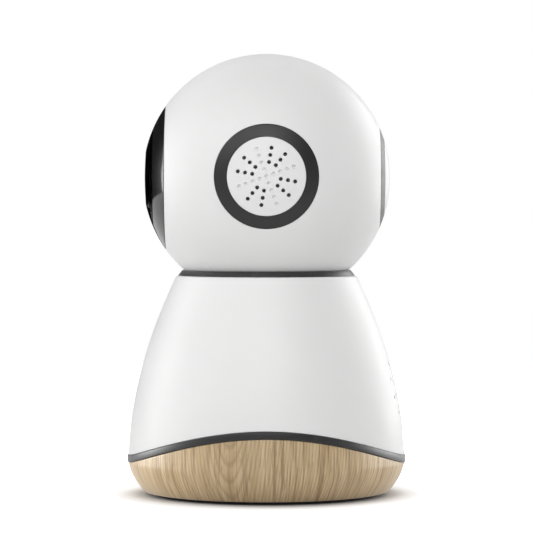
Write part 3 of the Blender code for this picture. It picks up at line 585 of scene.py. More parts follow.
def circuit_board():
    """Green solder mask over faint copper tracks."""
    made, shader = new_finish("solder_mask_board", (0.012, 0.10, 0.045), 0.35, Coat_Weight=0.3)
    tracks = node(
        made, "ShaderNodeTexBrick", {
            "Vector": place(made), "Scale": 420.0, "Color1": (0.010, 0.09, 0.04, 1),
            "Color2": (0.014, 0.12, 0.05, 1), "Mortar": (0.05, 0.20, 0.07, 1),
            "Mortar Size": 0.035,
        },
    )
    link(made, tracks.outputs["Color"], shader.inputs["Base Color"])
    weave = noise(made, place(made), 1800, 2, 0.5)
    link(made, spread(made, weave, 0.28, 0.5), shader.inputs["Roughness"])
    bumped(made, shader, [(tracks.outputs["Fac"], 0.02 * MM)])
    return made


def paper_cone():
    """Black felted paper."""
    made, shader = new_finish("speaker_paper", (0.03, 0.03, 0.032), 0.9)
    fibre = noise(made, place(made), 1500, 5, 0.75)
    link(
        made, ramp(made, fibre, [(0.3, 0.018), (0.75, 0.055)]), shader.inputs["Base Color"],
    )
    bumped(made, shader, [(fibre, 0.05 * MM)])
    return made


# The log that the oak ring is cut from: its axis stands off the ring and leans a little
LOG_TURN = math.radians(-15)
LOG_OFFSET = 49 * MM
LOG_LEAN = math.radians(11)
RING_PITCH = 0.95 * MM


def oak():
    """Oiled light oak: growth rings that arch on the left face, fine streaks, pores and silk."""
    made, shader = new_finish(
        "oiled_light_oak", (0.5, 0.36, 0.2), 0.5, Specular_IOR_Level=0.8, Sheen_Weight=0.4,
        Sheen_Roughness=0.3,
    )
    grain = "grain"
    streak = noise(made, place(made, (560, 560, 22), grain), 1, 7, 0.68)
    vein = noise(made, place(made, (1000, 1000, 34), grain), 1, 5, 0.68)
    silk = noise(made, place(made, (3800, 3800, 80), grain), 1, 3, 0.55)
    cloud = noise(made, place(made, (70, 70, 30), grain), 1, 3, 0.5)
    base = ramp(made, streak, [
        (0.30, (0.355, 0.235, 0.100)), (0.43, (0.485, 0.350, 0.172)), (0.55, (0.600, 0.456, 0.254)),
        (0.72, (0.695, 0.560, 0.350)),
    ])
    base = blended(made, spread(made, vein, 1.0, 0.0, 0.38, 0.50), base, (0.275, 0.160, 0.062))
    lean = Matrix.Rotation(LOG_LEAN, 3, Vector((-math.sin(LOG_TURN), math.cos(LOG_TURN), 0)))
    angles = lean.to_euler()
    shift = -(lean @ on_circle(LOG_OFFSET, LOG_TURN))
    rings = node(made, "ShaderNodeTexWave", {
        "Vector": place(made, (1, 1, 1), grain, shift, angles), "Scale": 0.314 / RING_PITCH,
        "Distortion": 3.5, "Detail": 4.0, "Detail Scale": 90.0, "Detail Roughness": 0.6,
    }, wave_type="RINGS", rings_direction="Z", wave_profile="SAW").outputs["Fac"]
    ring_tone = ramp(made, rings, [
        (0.0, 1.0), (0.55, (0.95, 0.93, 0.90)), (0.86, (0.50, 0.39, 0.28)), (1.0, 1.0),
    ])
    base = blended(made, 0.85, base, ring_tone, "MULTIPLY")
    base = blended(made, spread(made, silk, 0.0, 0.4, 0.35, 0.75), base, (0.560, 0.440, 0.300))
    pores = noise(made, place(made, (2300, 2300, 210), grain), 1, 2, 0.5)
    pore = spread(made, pores, 0.0, 1.0, 0.63, 0.70)
    base = blended(made, math_node(made, "MULTIPLY", pore, 0.5), base, (0.20, 0.125, 0.065))
    base = blended(made, spread(made, cloud, 0.0, 0.25, 0.35, 0.7), base, (0.430, 0.310, 0.185))
    link(made, base, shader.inputs["Base Color"])
    dull = math_node(made, "MULTIPLY", pore, 0.2)
    gloss = math_node(made, "ADD", spread(made, silk, 0.40, 0.52), dull)
    link(made, gloss, shader.inputs["Roughness"])
    hollow = math_node(made, "SUBTRACT", 1.0, pore)
    bumped(made, shader, [(silk, 0.012 * MM), (hollow, 0.03 * MM)])
    return made


# ---------------------------------------------------------------- pieces

def piece(name, bm, body, slot, finish, *nodes, angle=35):
    """A finished piece: it rides on a body, takes its finish and stands for CAD nodes. The slot
    argument is not used.
    """
    mesh = bpy.data.meshes.new(name)
    bm.to_mesh(mesh)
    bm.free()
    obj = bpy.data.objects.new(name, mesh)
    bpy.context.scene.collection.objects.link(obj)
    mesh.materials.append(finish)
    mesh.shade_smooth()
    mesh.set_sharp_from_angle(angle=math.radians(angle))
    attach(obj, body)
    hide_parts(*nodes)
    return obj


def lipped_hole(radius, floor, lip, steps, direction):
    """A round tool along an axis of the ball, which also rounds the hole's edge at the surface."""
    depth = ball_depth(radius)
    edge = curve((radius, depth - lip), (radius, depth), (radius + lip, ball_depth(radius + lip)), 4)
    section = [(0, floor), (radius, floor), *edge, (radius + lip, PAST_BALL), (0, PAST_BALL)]
    return turned(section, steps, direction)


def face_tool():
    """Cuts the ball off flat for the face, and rounds the cut's outer edge."""
    corner = math.sqrt(HEAD_RADIUS ** 2 - FACE_PLANE ** 2)
    lip = 0.22 * MM
    edge = curve(
        (corner - lip, FACE_PLANE), (corner, FACE_PLANE), (corner + lip, ball_depth(corner + lip)), 4
    )
    section = [(0, FACE_PLANE), *edge, (corner + lip, PAST_BALL), (0, PAST_BALL)]
    return turned(section, ROUND, FRONT)


def smooth_ball(obj):
    """Gives the faces that lie on the ball the ball's own normals, so that cuts leave no dents."""
    mesh = obj.data
    normals = [Vector(corner.vector) for corner in mesh.corner_normals]
    tolerance = 0.004 * MM
    for face in mesh.polygons:
        spots = [mesh.vertices[v].co - CENTRE for v in face.vertices]
        if all(abs(spot.length - HEAD_RADIUS) < tolerance for spot in spots):
            if face.normal.dot(spots[0].normalized()) > 0.9:
                for loop, spot in zip(face.loop_indices, spots):
                    normals[loop] = spot.normalized()
    mesh.normals_split_custom_set(normals)


def make_ball(white):
    """Two half shells that meet in a fine seam over the top."""
    seam = 0.03 * MM
    inside = HEAD_RADIUS - HEAD_WALL
    underside = POCKET_FLOOR - 1.6 * MM
    hub_face = 29.4 * MM
    hub_bore = 3.1 * MM
    hub_radius = 6 * MM
    for side, direction in (("left", LEFT), ("right", RIGHT)):
        section = ball_arc(math.sqrt(HEAD_RADIUS ** 2 - seam ** 2), ROUNDEL_RADIUS, 56)
        section += [
            (ROUNDEL_RADIUS, POCKET_FLOOR), (hub_bore, POCKET_FLOOR), (hub_bore, hub_face),
            (hub_radius, hub_face), (hub_radius, underside),
        ]
        floor_edge = math.sqrt(inside ** 2 - underside ** 2)
        section += ball_arc(floor_edge, math.sqrt(inside ** 2 - seam ** 2), 24, inside)
        bm = turned(section, ROUND, direction)
        soften(bm, 0.10 * MM, 3, lambda spot: spot.length > HEAD_RADIUS - 0.01 * MM)
        bm = carved(bm, [
            face_tool(),
            lipped_hole(ROUNDEL_RADIUS, 28 * MM, 0.10 * MM, ROUND, BACK),
            band_over_axis_x(
                SLOT_HALF_WIDTH, inside - 2 * MM, PAST_BALL, SLOT_REAR, SLOT_SWEEP, 40
            ),
        ])
        ball = piece(
            f"ball_shell_{side}", lifted(bm), "head", "white_plastic", white, f"head_shell_{side}"
        )
        smooth_ball(ball)


def roundel_ring(direction, floor):
    """Ring that fills a roundel's pocket from its floor up to the ball's surface."""
    inner = DISC_RADIUS
    outer = ROUNDEL_RADIUS - SEAM
    section = [(inner, floor), (outer, floor), *ball_arc(outer, inner, 10)]
    return soften(turned(section, ROUND, direction), 0.12 * MM, 3)


def star_tools(direction, across):
    """Tools for a disc's star: flared holes, and blind dimples in the middle and every third arm."""
    tools = []
    low = 32 * MM
    high = 39 * MM
    mouth = STAR_HOLE + HOLE_FLARE
    for y, z in star_places(STAR_PITCH, (2, 3, 4), [arm for arm in range(STAR_ARMS) if arm % 3]):
        depth = ball_depth(math.hypot(y, z))
        hole = [
            (0, low), (STAR_HOLE, low), (STAR_HOLE, depth - 0.12 * MM),
            (mouth, depth + 0.03 * MM), (mouth, high), (0, high),
        ]
        tools.append(turned(hole, SMALL, direction, (0, across * y, z)))
    blind_arms = range(0, STAR_ARMS, 3)
    for y, z in [(0, 0), *star_places(STAR_PITCH, (1, 2, 3, 4), blind_arms)]:
        dimple = bmesh.new()
        bmesh.ops.create_uvsphere(dimple, u_segments=24, v_segments=14, radius=DIMPLE_RADIUS)
        depth = ball_depth(math.hypot(y, z)) - DIMPLE_SUNK
        spot = direction * depth + Vector((0, across * y, z))
        bmesh.ops.translate(dimple, vec=spot, verts=dimple.verts)
        tools.append(dimple)
    return tools


def make_side_roundels(white, dark):
    """Dark ring round a perforated disc, each side."""
    floor = POCKET_FLOOR + 0.3 * MM
    outer = DISC_RADIUS - SEAM
    for side, direction, across in (("left", LEFT, 1), ("right", RIGHT, -1)):
        ring = roundel_ring(direction, floor)
        piece(
            f"roundel_ring_{side}", lifted(ring), "head", "charcoal_plastic", dark,
            f"side_ring_{side}",
        )
        section = [(0, 36.0 * MM), (9.1 * MM, 34.9 * MM), (10.2 * MM, floor), (outer, floor)]
        section += ball_arc(outer, 0, 26)
        plate = soften(turned(section, MEDIUM, direction), 0.10 * MM, 3, sharper=50)
        plate = carved(plate, star_tools(direction, across))
        disc = piece(
            f"perforated_disc_{side}", lifted(plate), "head", "white_plastic", white,
            f"side_disc_{side}",
        )
        smooth_ball(disc)


def make_microphone(gold):
    """Small round can with a sound port, behind the left disc."""
    can = soften(rod(2.5 * MM, POCKET_FLOOR + 0.3 * MM, 35.2 * MM, FINE, LEFT), 0.2 * MM, 2)
    port = rod(0.4 * MM, 34.9 * MM, 36 * MM, SMALL, LEFT)
    piece("microphone_can", lifted(carved(can, [port])), "head", "insert_brass", gold, "microphone")


def make_rear_roundel(white, dark):
    """Dark ring and a plain white cap, flush with the ball."""
    behind = HEAD_RADIUS - 1.8 * MM
    inner = DISC_RADIUS
    outer = ROUNDEL_RADIUS - SEAM
    section = ball_arc(inner, outer, 4, behind) + ball_arc(outer, inner, 10)
    ring = soften(turned(section, ROUND, BACK), 0.12 * MM, 3, sharper=50)
    piece("rear_roundel_ring", lifted(ring), "head", "charcoal_plastic", dark, "rear_ring")
    section = ball_arc(0, inner - SEAM, 8, behind) + ball_arc(inner - SEAM, 0, 26)
    cap = soften(turned(section, ROUND, BACK), 0.12 * MM, 3, sharper=50)
    piece("rear_roundel_cap", lifted(cap), "head", "white_plastic", white, "rear_cap")


def make_face(black, window_tint, cover_tint):
    """Polished bezel, smoked window and lens cover, which carry the ball's curve on."""
    back = FACE_PLANE + 0.06 * MM
    inner = WINDOW_RADIUS + 0.04 * MM
    section = ball_arc(BEZEL_RADIUS, inner, 24)
    section += [(inner, 32.4 * MM), (17.6 * MM, back), (BEZEL_RADIUS, back)]
    bezel = soften(turned(section, ROUND, FRONT), 0.12 * MM, 4, sharper=40)
    piece("polished_bezel", lifted(bezel), "head", "gloss_black", black, "face_bezel")
    outer = WINDOW_RADIUS - 0.04 * MM
    inner = COVER_RADIUS + 0.05 * MM
    section = ball_arc(outer, inner, 24) + [(inner, 35.1 * MM), (outer, 32.9 * MM)]
    window = soften(turned(section, ROUND, FRONT), 0.10 * MM, 3, sharper=40)
    piece("smoked_face_window", lifted(window), "head", "smoked_window", window_tint, "face_window")
    edge = COVER_RADIUS - 0.05 * MM
    section = [(0, 35.9 * MM), (edge, 35.1 * MM)]
    section += curve((edge, COVER_EDGE), (edge / 2, COVER_FRONT), (0, COVER_FRONT), 24)
    cover = soften(turned(section, ROUND, FRONT), 0.15 * MM, 4, sharper=40)
    piece("clear_lens_cover", lifted(cover), "head", "lens_cover_black", cover_tint, "lens_cover")


def make_lens(black, glass):
    """Stepped barrel and domed front lens."""
    barrel = [(0, 19.5), (6.2, 19.5), (6.2, 31.3), (7.9, 32.3), (7.9, 34.4), (7.4, 34.55)]
    for step in range(5):
        wide = 7.2 - 0.4 * step
        deep = 34.3 - 0.62 * step
        barrel += [(wide, deep), (wide - 0.1, deep - 0.55)]
    barrel += [(5.1, 31.3), (0, 31.2)]
    section = [(radius * MM, depth * MM) for radius, depth in barrel]
    shape = turned(section, MEDIUM, FRONT)
    piece("stepped_lens_barrel", lifted(shape), "head", "lens_metal", black, "lens_barrel", angle=25)
    section = [(0, 31.5 * MM), (4.9 * MM, 31.5 * MM), (4.9 * MM, 33.0 * MM)]
    section += curve((4.7 * MM, 33.25 * MM), (2.6 * MM, 34.9 * MM), (0, 34.9 * MM), 20)
    shape = turned(section, MEDIUM, FRONT)
    piece("front_lens_element", lifted(shape), "head", "lens_glass", glass, "front_lens")


def make_lamps(epoxy):
    """Six domed infrared lamps in a circle round the lens."""
    lamps = []
    names = []
    for number in range(6):
        angle = math.tau * number / 6
        spot = (LAMP_CIRCLE * math.sin(angle), 0, LAMP_CIRCLE * math.cos(angle))
        dome = [(0, 31.35), (1.5, 31.35), (1.5, 31.8), (1.3, 31.8)]
        section = [(radius * MM, depth * MM) for radius, depth in dome]
        section += curve((1.3 * MM, 32.3 * MM), (1.2 * MM, 33.15 * MM), (0, 33.15 * MM), 8)
        lamps.append(turned(section, FINE // 2, FRONT, spot))
        names.append(f"infrared_lamp_{number + 1}")
    piece("infrared_lamps", lifted(joined(lamps)), "head", "lamp_epoxy", epoxy, *names)


def make_dust_shield(white):
    """Curved plate inside the ball that closes its slot, with a hole for the stem."""
    shield = band_over_axis_x(
        6 * MM, 33.75 * MM, 34.6 * MM, math.radians(-52), math.radians(104), 72
    )
    shield = soften(shield, 0.15 * MM, 2, sharper=50)
    shield = carved(lifted(shield), [rod(3.6 * MM, 55 * MM, 66 * MM, FINE)])
    piece("slot_shield", shield, "pan", "white_plastic", white, "dust_shield")


# ---------------------------------------------------------------- body pieces

def socket_slab(half_width, half_height, corner, near, far, steps=6):
    """A rounded slab on the charging socket's axis, between two distances behind the body's axis."""
    slab = rounded_slab(half_width, half_height, corner, -far, -near, steps)
    return aim(slab, FRONT, (0, 0, SOCKET_Z))


def make_bell(white):
    """White bell with a rounded mouth, a wavy edge, and openings for grille, light and socket."""
    rows = 60
    section = [(NECK_RADIUS - WALL, NECK_Z)]
    for row in range(rows + 1):
        z = NECK_Z - (NECK_Z - WAVE_MID_Z) * row / rows
        section.append((side_radius(z), z))
    for row in range(12):
        z = WAVE_MID_Z + (NECK_Z - WAVE_MID_Z) * row / 12
        section.append((side_radius(z) - WALL, z))
    bm = follow_wave(turned(section, ROUND), NECK_Z, WAVE_MID_Z, WAVE_HALF + SEAM)
    soften(bm, 0.7 * MM, 6, lambda spot: spot.z > NECK_Z - 0.1 * MM and spot.xy.length > 26 * MM)
    soften(bm, 0.18 * MM, 3, lambda spot: spot.z < 30 * MM and on_outside(spot))
    sleeve = carved(
        socket_slab(6.1 * MM, 3.5 * MM, 1.9 * MM, 36.4 * MM, 41 * MM),
        [socket_slab(*SOCKET_OPENING, 36 * MM, 45 * MM)],
    )
    tools = [
        rod(GRILLE_HOLE, 30 * MM, 44 * MM, 14, BACK, (x, 0, SPEAKER_Z + z))
        for x, z in star_places(GRILLE_PITCH, (2, 3, 4), range(STAR_ARMS))
    ]
    tools.append(rod(1.55 * MM, 36 * MM, 44 * MM, FINE, FRONT, (0, 0, STATUS_Z)))
    tools.append(socket_slab(*SOCKET_OPENING, 34 * MM, 45 * MM))
    bm = carved(bm, tools)
    shell = piece("white_bell", bm, "base", "white_plastic", white, "body_shell")
    smooth_bell(shell)
    piece("socket_sleeve", sleeve, "base", "white_plastic", white)


def smooth_bell(obj):
    """Gives the faces on the bell's curve that curve's own normals, so that holes leave no dents."""
    mesh = obj.data
    normals = [Vector(corner.vector) for corner in mesh.corner_normals]
    step = 0.1 * MM
    for face in mesh.polygons:
        spots = [mesh.vertices[v].co for v in face.vertices]
        if not all(
            WAIST_Z + step < spot.z < NECK_Z - 0.75 * MM
            and abs(spot.xy.length - side_radius(spot.z)) < 0.01 * MM for spot in spots
        ):
            continue
        if face.normal.dot(Vector((*spots[0].xy.normalized(), 0))) < 0.6:
            continue
        for loop, spot in zip(face.loop_indices, spots):
            slope = (side_radius(spot.z + step) - side_radius(spot.z - step)) / (2 * step)
            around = spot.xy.normalized()
            normals[loop] = Vector((around.x, around.y, -slope)).normalized()
    mesh.normals_split_custom_set(normals)


def make_wave_strip(dark):
    """Strip between bell and oak, which stands a little proud and rises and falls round the body."""
    inner = WAIST_RADIUS - WALL
    outer = WAIST_RADIUS + WAVE_PROUD
    low = WAVE_MID_Z - WAVE_HALF
    high = WAVE_MID_Z + WAVE_HALF
    section = [(inner, low), (outer, low), (outer, high), (inner, high)]
    bm = soften(turned(section, ROUND), 0.28 * MM, 4)
    for vertex in bm.verts:
        angle = math.atan2(vertex.co.y, vertex.co.x)
        z = vertex.co.z + WAVE_RISE * math.cos(2 * angle)
        radius = vertex.co.xy.length
        moved = radius + side_radius(max(z, WAIST_Z)) - WAIST_RADIUS
        vertex.co = (vertex.co.x * moved / radius, vertex.co.y * moved / radius, z)
    piece("wavy_strip", bm, "base", "charcoal_plastic", dark, "wave_trim")


def make_oak_ring(wood):
    """Oak ring: its top follows the wave, and its foot curves in to a flange."""
    top = WAVE_MID_Z
    fixed = 6 * MM
    flange = PLATE_RADIUS + 0.15 * MM
    rows = 14
    section = [(WAIST_RADIUS - 3 * MM, top)]
    for row in range(rows + 1):
        z = top - (top - fixed) * row / rows
        section.append((side_radius(z), z))
    for row in range(1, 13):
        z = fixed - (fixed - FOOT_EDGE[1]) * row / 12
        section.append((side_radius(z), z))
    section += [
        (36.4 * MM, FLOOR_Z), (flange, FLOOR_Z), (flange, 3.2 * MM), (35.9 * MM, 3.2 * MM),
        (38.0 * MM, fixed),
    ]
    bm = follow_wave(turned(section, ROUND), fixed, top, -WAVE_HALF - SEAM)
    soften(bm, 0.2 * MM, 3, lambda spot: spot.z > 7 * MM and on_outside(spot))
    ring = piece("oak_ring", bm, "base", "oak_wood", wood, "wood_base")
    grain = ring.data.attributes.new("grain", "FLOAT_VECTOR", "POINT")
    for vertex, item in zip(ring.data.vertices, grain.data):
        angle = math.atan2(vertex.co.y, vertex.co.x)
        under = max(0.0, FOOT_EDGE[0] - vertex.co.xy.length) if vertex.co.z < FOOT_EDGE[1] else 0.0
        item.vector = on_circle(40 * MM, angle, vertex.co.z - under)


def make_neck_ring(dark):
    """Collar that the ball turns in, with a spigot inside the bell's mouth."""
    low = 66.45 * MM
    high = 68.05 * MM
    clear = 0.2 * MM
    seat_low = ball_depth(CENTRE.z - low) + clear
    seat_high = ball_depth(CENTRE.z - high) + clear
    spigot = 24.7 * MM
    section = [
        (seat_high, high), (25.55 * MM, high), (26.85 * MM, low), (spigot, low), (spigot, 63.5 * MM),
        (seat_low, 63.5 * MM), (seat_low, low),
    ]
    bm = soften(turned(section, ROUND), 0.16 * MM, 3, lambda spot: spot.xy.length > 25.3 * MM)
    piece("ball_collar", bm, "base", "charcoal_plastic", dark, "neck_ring")


def counterbore(angle):
    """Stepped hole for a base screw."""
    section = [
        (0, 0), (2.3 * MM, 0), (2.3 * MM, 2.4 * MM), (1.3 * MM, 2.4 * MM), (1.3 * MM, 4 * MM),
        (0, 4 * MM),
    ]
    return turned(section, FINE, UP, on_circle(LEG_CIRCLE, angle))


def make_base_plate(black):
    """Base plate with a shallow panel and holes for the insert, the reset button and the screws."""
    panel = 1.25 * MM
    top = 3.2 * MM
    section = [
        (0, panel), (19.6 * MM, panel), (20.0 * MM, FLOOR_Z), (PLATE_RADIUS, FLOOR_Z),
        (PLATE_RADIUS, top), (0, top),
    ]
    plate = turned(section, ROUND)
    soften(plate, 0.12 * MM, 2, lambda spot: spot.xy.length > 28 * MM)
    tools = [
        rod(INSERT_RADIUS + 0.1 * MM, 0, 4 * MM, MEDIUM),
        rod(2.0 * MM, 0, 4 * MM, FINE, UP, RESET),
        *(counterbore(angle) for angle in LEG_ANGLES),
    ]
    plate = carved(plate, tools)
    piece("grained_base_plate", plate, "base", "black_plastic", black, "base_plate", angle=20)


def make_foot_ring(rubber):
    """Flat rubber ring that the camera stands on."""
    inner = 29.5 * MM
    outer = 34 * MM
    top = 0.98 * MM
    section = [(inner, 0), (outer, 0), (outer, top), (inner, top)]
    foot = soften(turned(section, ROUND), 0.22 * MM, 3)
    piece("rubber_foot_ring", foot, "base", "foot_rubber", rubber, "foot_ring")


def make_insert(brass):
    """Blind tripod insert; its thread is drawn as plain rings."""
    z = 8.5 * MM
    section = [(0, z)]
    while z > 2.2 * MM:
        section += [(INSERT_BORE, z), (INSERT_BORE + 0.5 * MM, z - THREAD_PITCH / 2)]
        z -= THREAD_PITCH
    section += [
        (INSERT_BORE + 0.2 * MM, 1.5 * MM), (INSERT_BORE + 0.6 * MM, FLOOR_Z), (INSERT_RADIUS, FLOOR_Z),
        (INSERT_RADIUS, 9.5 * MM), (0, 9.5 * MM),
    ]
    piece(
        "threaded_insert", turned(section, FINE), "base", "insert_brass", brass, "tripod_insert",
        angle=25,
    )


def make_screws(steel):
    """Cross-head screws up into the legs, each stopped at its own turn."""
    turn_per_place = 1.7
    slot = 0.22 * MM
    reach = 1.15 * MM
    low = 0.9 * MM
    high = 1.8 * MM
    for number, angle in enumerate(LEG_ANGLES, 1):
        section = [(0, 1.1), (1.6, 1.15), (2.0, 1.45), (2.0, 2.1), (1.0, 2.1), (1.0, 12.9), (0, 13.6)]
        shank = turned([(radius * MM, z * MM) for radius, z in section], FINE)
        cross = carved(
            box((-reach, -slot, low), (reach, slot, high)),
            [box((-slot, -reach, low), (slot, reach, high))], "UNION",
        )
        screw = carved(shank, [cross])
        turn = Matrix.Rotation(angle * turn_per_place, 3, "Z")
        bmesh.ops.rotate(screw, cent=(0, 0, 0), matrix=turn, verts=screw.verts)
        bmesh.ops.translate(screw, vec=on_circle(LEG_CIRCLE, angle), verts=screw.verts)
        piece(f"cross_screw_{number}", screw, "base", "steel", steel, f"base_screw_{number}")


def make_reset_button(grey):
    """Button with a dished face, and a collar further in."""
    section = [
        (0, 1.7), (0.8, 1.62), (1.35, 1.4), (1.8, 1.4), (1.8, 6.0), (2.4, 6.0), (2.4, 7.0), (1.8, 7.0),
        (1.8, 10.2), (0, 10.2),
    ]
    button = turned([(radius * MM, z * MM) for radius, z in section], FINE, UP, RESET)
    piece("reset_button_cap", button, "reset", "button_grey", grey, "reset_button")


def make_socket(steel, black):
    """Charging socket and its tongue."""
    shell = carved(
        socket_slab(4.5 * MM, 1.64 * MM, 1.6 * MM, 30 * MM, SOCKET_FACE, 8),
        [socket_slab(4.15 * MM, 1.29 * MM, 1.26 * MM, 31 * MM, 38 * MM, 8)],
    )
    piece("charging_socket_shell", shell, "base", "steel", steel, "power_socket")
    tongue = socket_slab(3.3 * MM, 0.35 * MM, 0.2 * MM, 31 * MM, 35.9 * MM, 3)
    piece("charging_socket_tongue", tongue, "base", "black_plastic", black)


def make_status_light(lens):
    """Low dome, just proud of the bell."""
    radius = 1.5 * MM
    back = 34.5 * MM
    reach = side_radius(STATUS_Z)
    top = reach + 0.02 * MM
    section = [(0, back), (radius, back), (radius, reach - 0.15 * MM)]
    section += curve((1.42 * MM, reach - 0.05 * MM), (0.8 * MM, top), (0, top), 6)
    light = turned(section, FINE, FRONT, (0, 0, STATUS_Z))
    piece("status_light_lens", light, "base", "status_lens", lens, "status_light")


def dress_inside(black, white, gear, steel):
    """Better finishes on the CAD pieces that stay."""
    can = metal("zinc_plated_can", (0.56, 0.56, 0.58), 0.38, (60, 60, 1800))
    cast = metal("cast_ballast_iron", (0.34, 0.34, 0.35), 0.6, (400, 400, 400), 0.02)
    pressed = metal("pressed_basket_steel", (0.46, 0.46, 0.48), 0.42, (900, 900, 900), 0.006)
    board = circuit_board()
    paper = paper_cone()
    finishes = {
        "base_frame": black, "bearing_plate": black, "yoke": black, "lens_holder": black,
        "wifi_antenna": black, "lamp_board": black, "ballast_weight": cast, "main_board": board,
        "socket_board": board, "sensor_board": board, "speaker_basket": pressed,
        "speaker_cone": paper, "pan_bushing": gear, "pan_motor": can, "tilt_motor": can,
        "turntable": white, "pan_retainer": steel, "pan_gear": gear, "yoke_nut": steel,
        "tilt_pin_left": steel, "tilt_pin_right": steel, "tilt_gear": gear, "pan_pinion": gear,
        "tilt_pinion": gear,
    }
    for name, finish in finishes.items():
        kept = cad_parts[name]
        for number in range(len(kept.material_slots)):
            kept.material_slots[number].link = "OBJECT"
            kept.material_slots[number].material = finish


# ---------------------------------------------------------------- light, floor and camera

FLOOR_RADIUS = 0.75
EYE = Vector((0.8661, 0, 0.0863))
EYE_AIM = Vector((0, 0, 0.0691))
LIGHT_AIM = Vector((0, 0, 0.07))


def add_light(name, spot, size, power, mirrored=True, only=()):
    """A soft box that faces the body. mirrored: gloss shows it. only: it lights just these pieces."""
    lamp = bpy.data.lights.new(name, "AREA")
    lamp.shape = "RECTANGLE"
    lamp.size, lamp.size_y = size
    lamp.energy = power
    obj = bpy.data.objects.new(name, lamp)
    bpy.context.scene.collection.objects.link(obj)
    obj.location = spot
    obj.rotation_euler = (LIGHT_AIM - obj.location).to_track_quat("-Z", "Y").to_euler()
    obj.visible_glossy = mirrored
    if only:
        lit = bpy.data.collections.new(f"{name}_lights")
        for piece_name in only:
            lit.objects.link(bpy.data.objects[piece_name])
        obj.light_linking.receiver_collection = lit


def make_world():
    """White to the camera, even for soft light; gloss sees it bright at the sides and overhead."""
    world = bpy.data.worlds.new("studio")
    bpy.context.scene.world = world
    world.use_nodes = True
    world.node_tree.nodes.clear()
    seen = node(world, "ShaderNodeTexCoord").outputs["Generated"]
    parts = node(world, "ShaderNodeSeparateXYZ", {"Vector": seen}).outputs
    side = spread(world, math_node(world, "ABSOLUTE", parts["Y"]), 0, 1, 0.5, 1.0)
    side = math_node(world, "MULTIPLY", math_node(world, "POWER", side, 6.0), 1.6)
    above = spread(world, parts["Z"], 0.012, 0.6, 0.5, 1.0)
    mirrored = math_node(world, "ADD", side, above)
    path = node(world, "ShaderNodeLightPath").outputs
    strength = spread(world, path["Is Glossy Ray"], 0.44, mirrored)
    strength = spread(world, path["Is Camera Ray"], strength, 1.0)
    inputs = {"Color": (1, 1, 1, 1), "Strength": strength}
    background = node(world, "ShaderNodeBackground", inputs).outputs["Background"]
    node(world, "ShaderNodeOutputWorld", {"Surface": background})


def make_floor():
    """Pale disc that fades into the white round it, with a painted contact shadow close to the foot."""
    floor = bmesh.new()
    bmesh.ops.create_circle(floor, cap_ends=True, radius=FLOOR_RADIUS, segments=96)
    mesh = bpy.data.meshes.new("studio_floor")
    floor.to_mesh(mesh)
    floor.free()
    obj = bpy.data.objects.new("studio_floor", mesh)
    bpy.context.scene.collection.objects.link(obj)
    made, shader = new_finish("pale_floor_painted_shadow", (0.80, 0.80, 0.80), 0.6)
    haze = noise(made, place(made), 3, 2, 0.5)
    link(made, spread(made, haze, 0.55, 0.65), shader.inputs["Roughness"])
    shader.inputs["Emission Color"].default_value = (1, 1, 1, 1)
    reach = node(made, "ShaderNodeVectorMath", {0: place(made)}, operation="LENGTH").outputs["Value"]
    # painted contact shadow: the floor's own colour darkens close to the foot
    near = ramp(made, reach, [(0.034, 0.46), (0.038, 0.60), (0.043, 0.80)])
    link(made, near, shader.inputs["Base Color"])
    # camera-only glow that whitens the floor, fading out close to the foot so the painted shadow there
    # stays dark
    glow = ramp(made, reach, [(0.0385, 0.04), (0.048, 0.47), (0.25, 1.0)])
    seen = node(made, "ShaderNodeLightPath").outputs["Is Camera Ray"]
    link(made, math_node(made, "MULTIPLY", seen, glow), shader.inputs["Emission Strength"])
    mesh.materials.append(made)


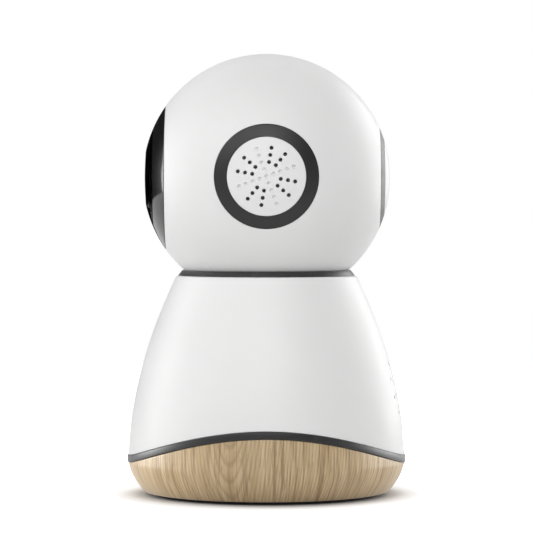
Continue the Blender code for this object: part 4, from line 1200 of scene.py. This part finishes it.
def add_lights():
    """Soft boxes: two on the camera's side, four behind, and two that light three pieces only."""
    add_light("key_left", (0.75, -0.8, 0.75), (0.8, 0.8), 3.6)
    add_light("front_high", (1.1, 0, 0.8), (0.8, 0.8), 5.7)
    add_light("strip_left", (-0.34, -1.15, 0.3), (0.28, 0.8), 2.4)
    add_light("rim_left", (-0.5, -1.0, 0.2), (0.5, 0.5), 2.8, False)
    add_light("rim_right", (-0.76, 0.84, 0.35), (0.9, 0.9), 8.6)
    add_light("rim_top", (-0.9, 0, 0.8), (0.9, 0.9), 1.6)
    edged = ("wavy_strip", "oak_ring", "ball_collar")
    add_light("edge_left", (-0.34, -0.94, 0.1), (0.6, 0.3), 6.2, only=edged)
    add_light("edge_right", (-0.34, 0.94, 0.1), (0.6, 0.3), 4.0, only=edged)


def add_camera():
    """Long lens that looks at the camera's left side."""
    lens = bpy.data.cameras.new("left_side_view")
    lens.lens = 192.5
    lens.sensor_width = 36
    lens.clip_start = 0.01
    eye = bpy.data.objects.new("left_side_view", lens)
    bpy.context.scene.collection.objects.link(eye)
    eye.location = EYE
    eye.rotation_euler = (EYE_AIM - EYE).to_track_quat("-Z", "Y").to_euler()
    bpy.context.scene.camera = eye


def make_studio():
    """Pale floor and plain soft studio light, shown with plain colours."""
    settings = bpy.context.scene.view_settings
    settings.view_transform = "Standard"
    settings.look = "None"
    make_world()
    make_floor()
    add_lights()
    add_camera()


# ---------------------------------------------------------------- assembly

def main():
    """Makes the finishes, then the pieces from the ball down, then the studio."""
    white = white_shell()
    dark = charcoal()
    black = inner_black()
    gear = gear_plastic()
    brass = metal("turned_brass", (0.72, 0.53, 0.24), 0.32, (40, 40, 3000))
    steel = metal("bright_steel", (0.60, 0.60, 0.61), 0.3)

    make_ball(white)
    make_side_roundels(white_disc(), dark)
    make_microphone(brass)
    make_rear_roundel(white, dark)
    make_face(
        gloss_black(), smoked("smoked_window_plastic", (0.10, 0.10, 0.11), 0.03),
        smoked("clear_cover_plastic", (0.55, 0.55, 0.60), 0.01),
    )
    make_lens(black, lens_glass())
    make_lamps(lamp_epoxy())
    make_dust_shield(white)

    make_bell(white)
    make_wave_strip(dark)
    make_oak_ring(oak())
    make_neck_ring(dark)
    make_base_plate(black)
    make_foot_ring(foot_rubber())
    make_insert(brass)
    make_screws(steel)
    make_reset_button(button_grey())
    make_socket(steel, black)
    make_status_light(status_lens())
    dress_inside(black, inner_white(), gear, steel)
    make_studio()


main()
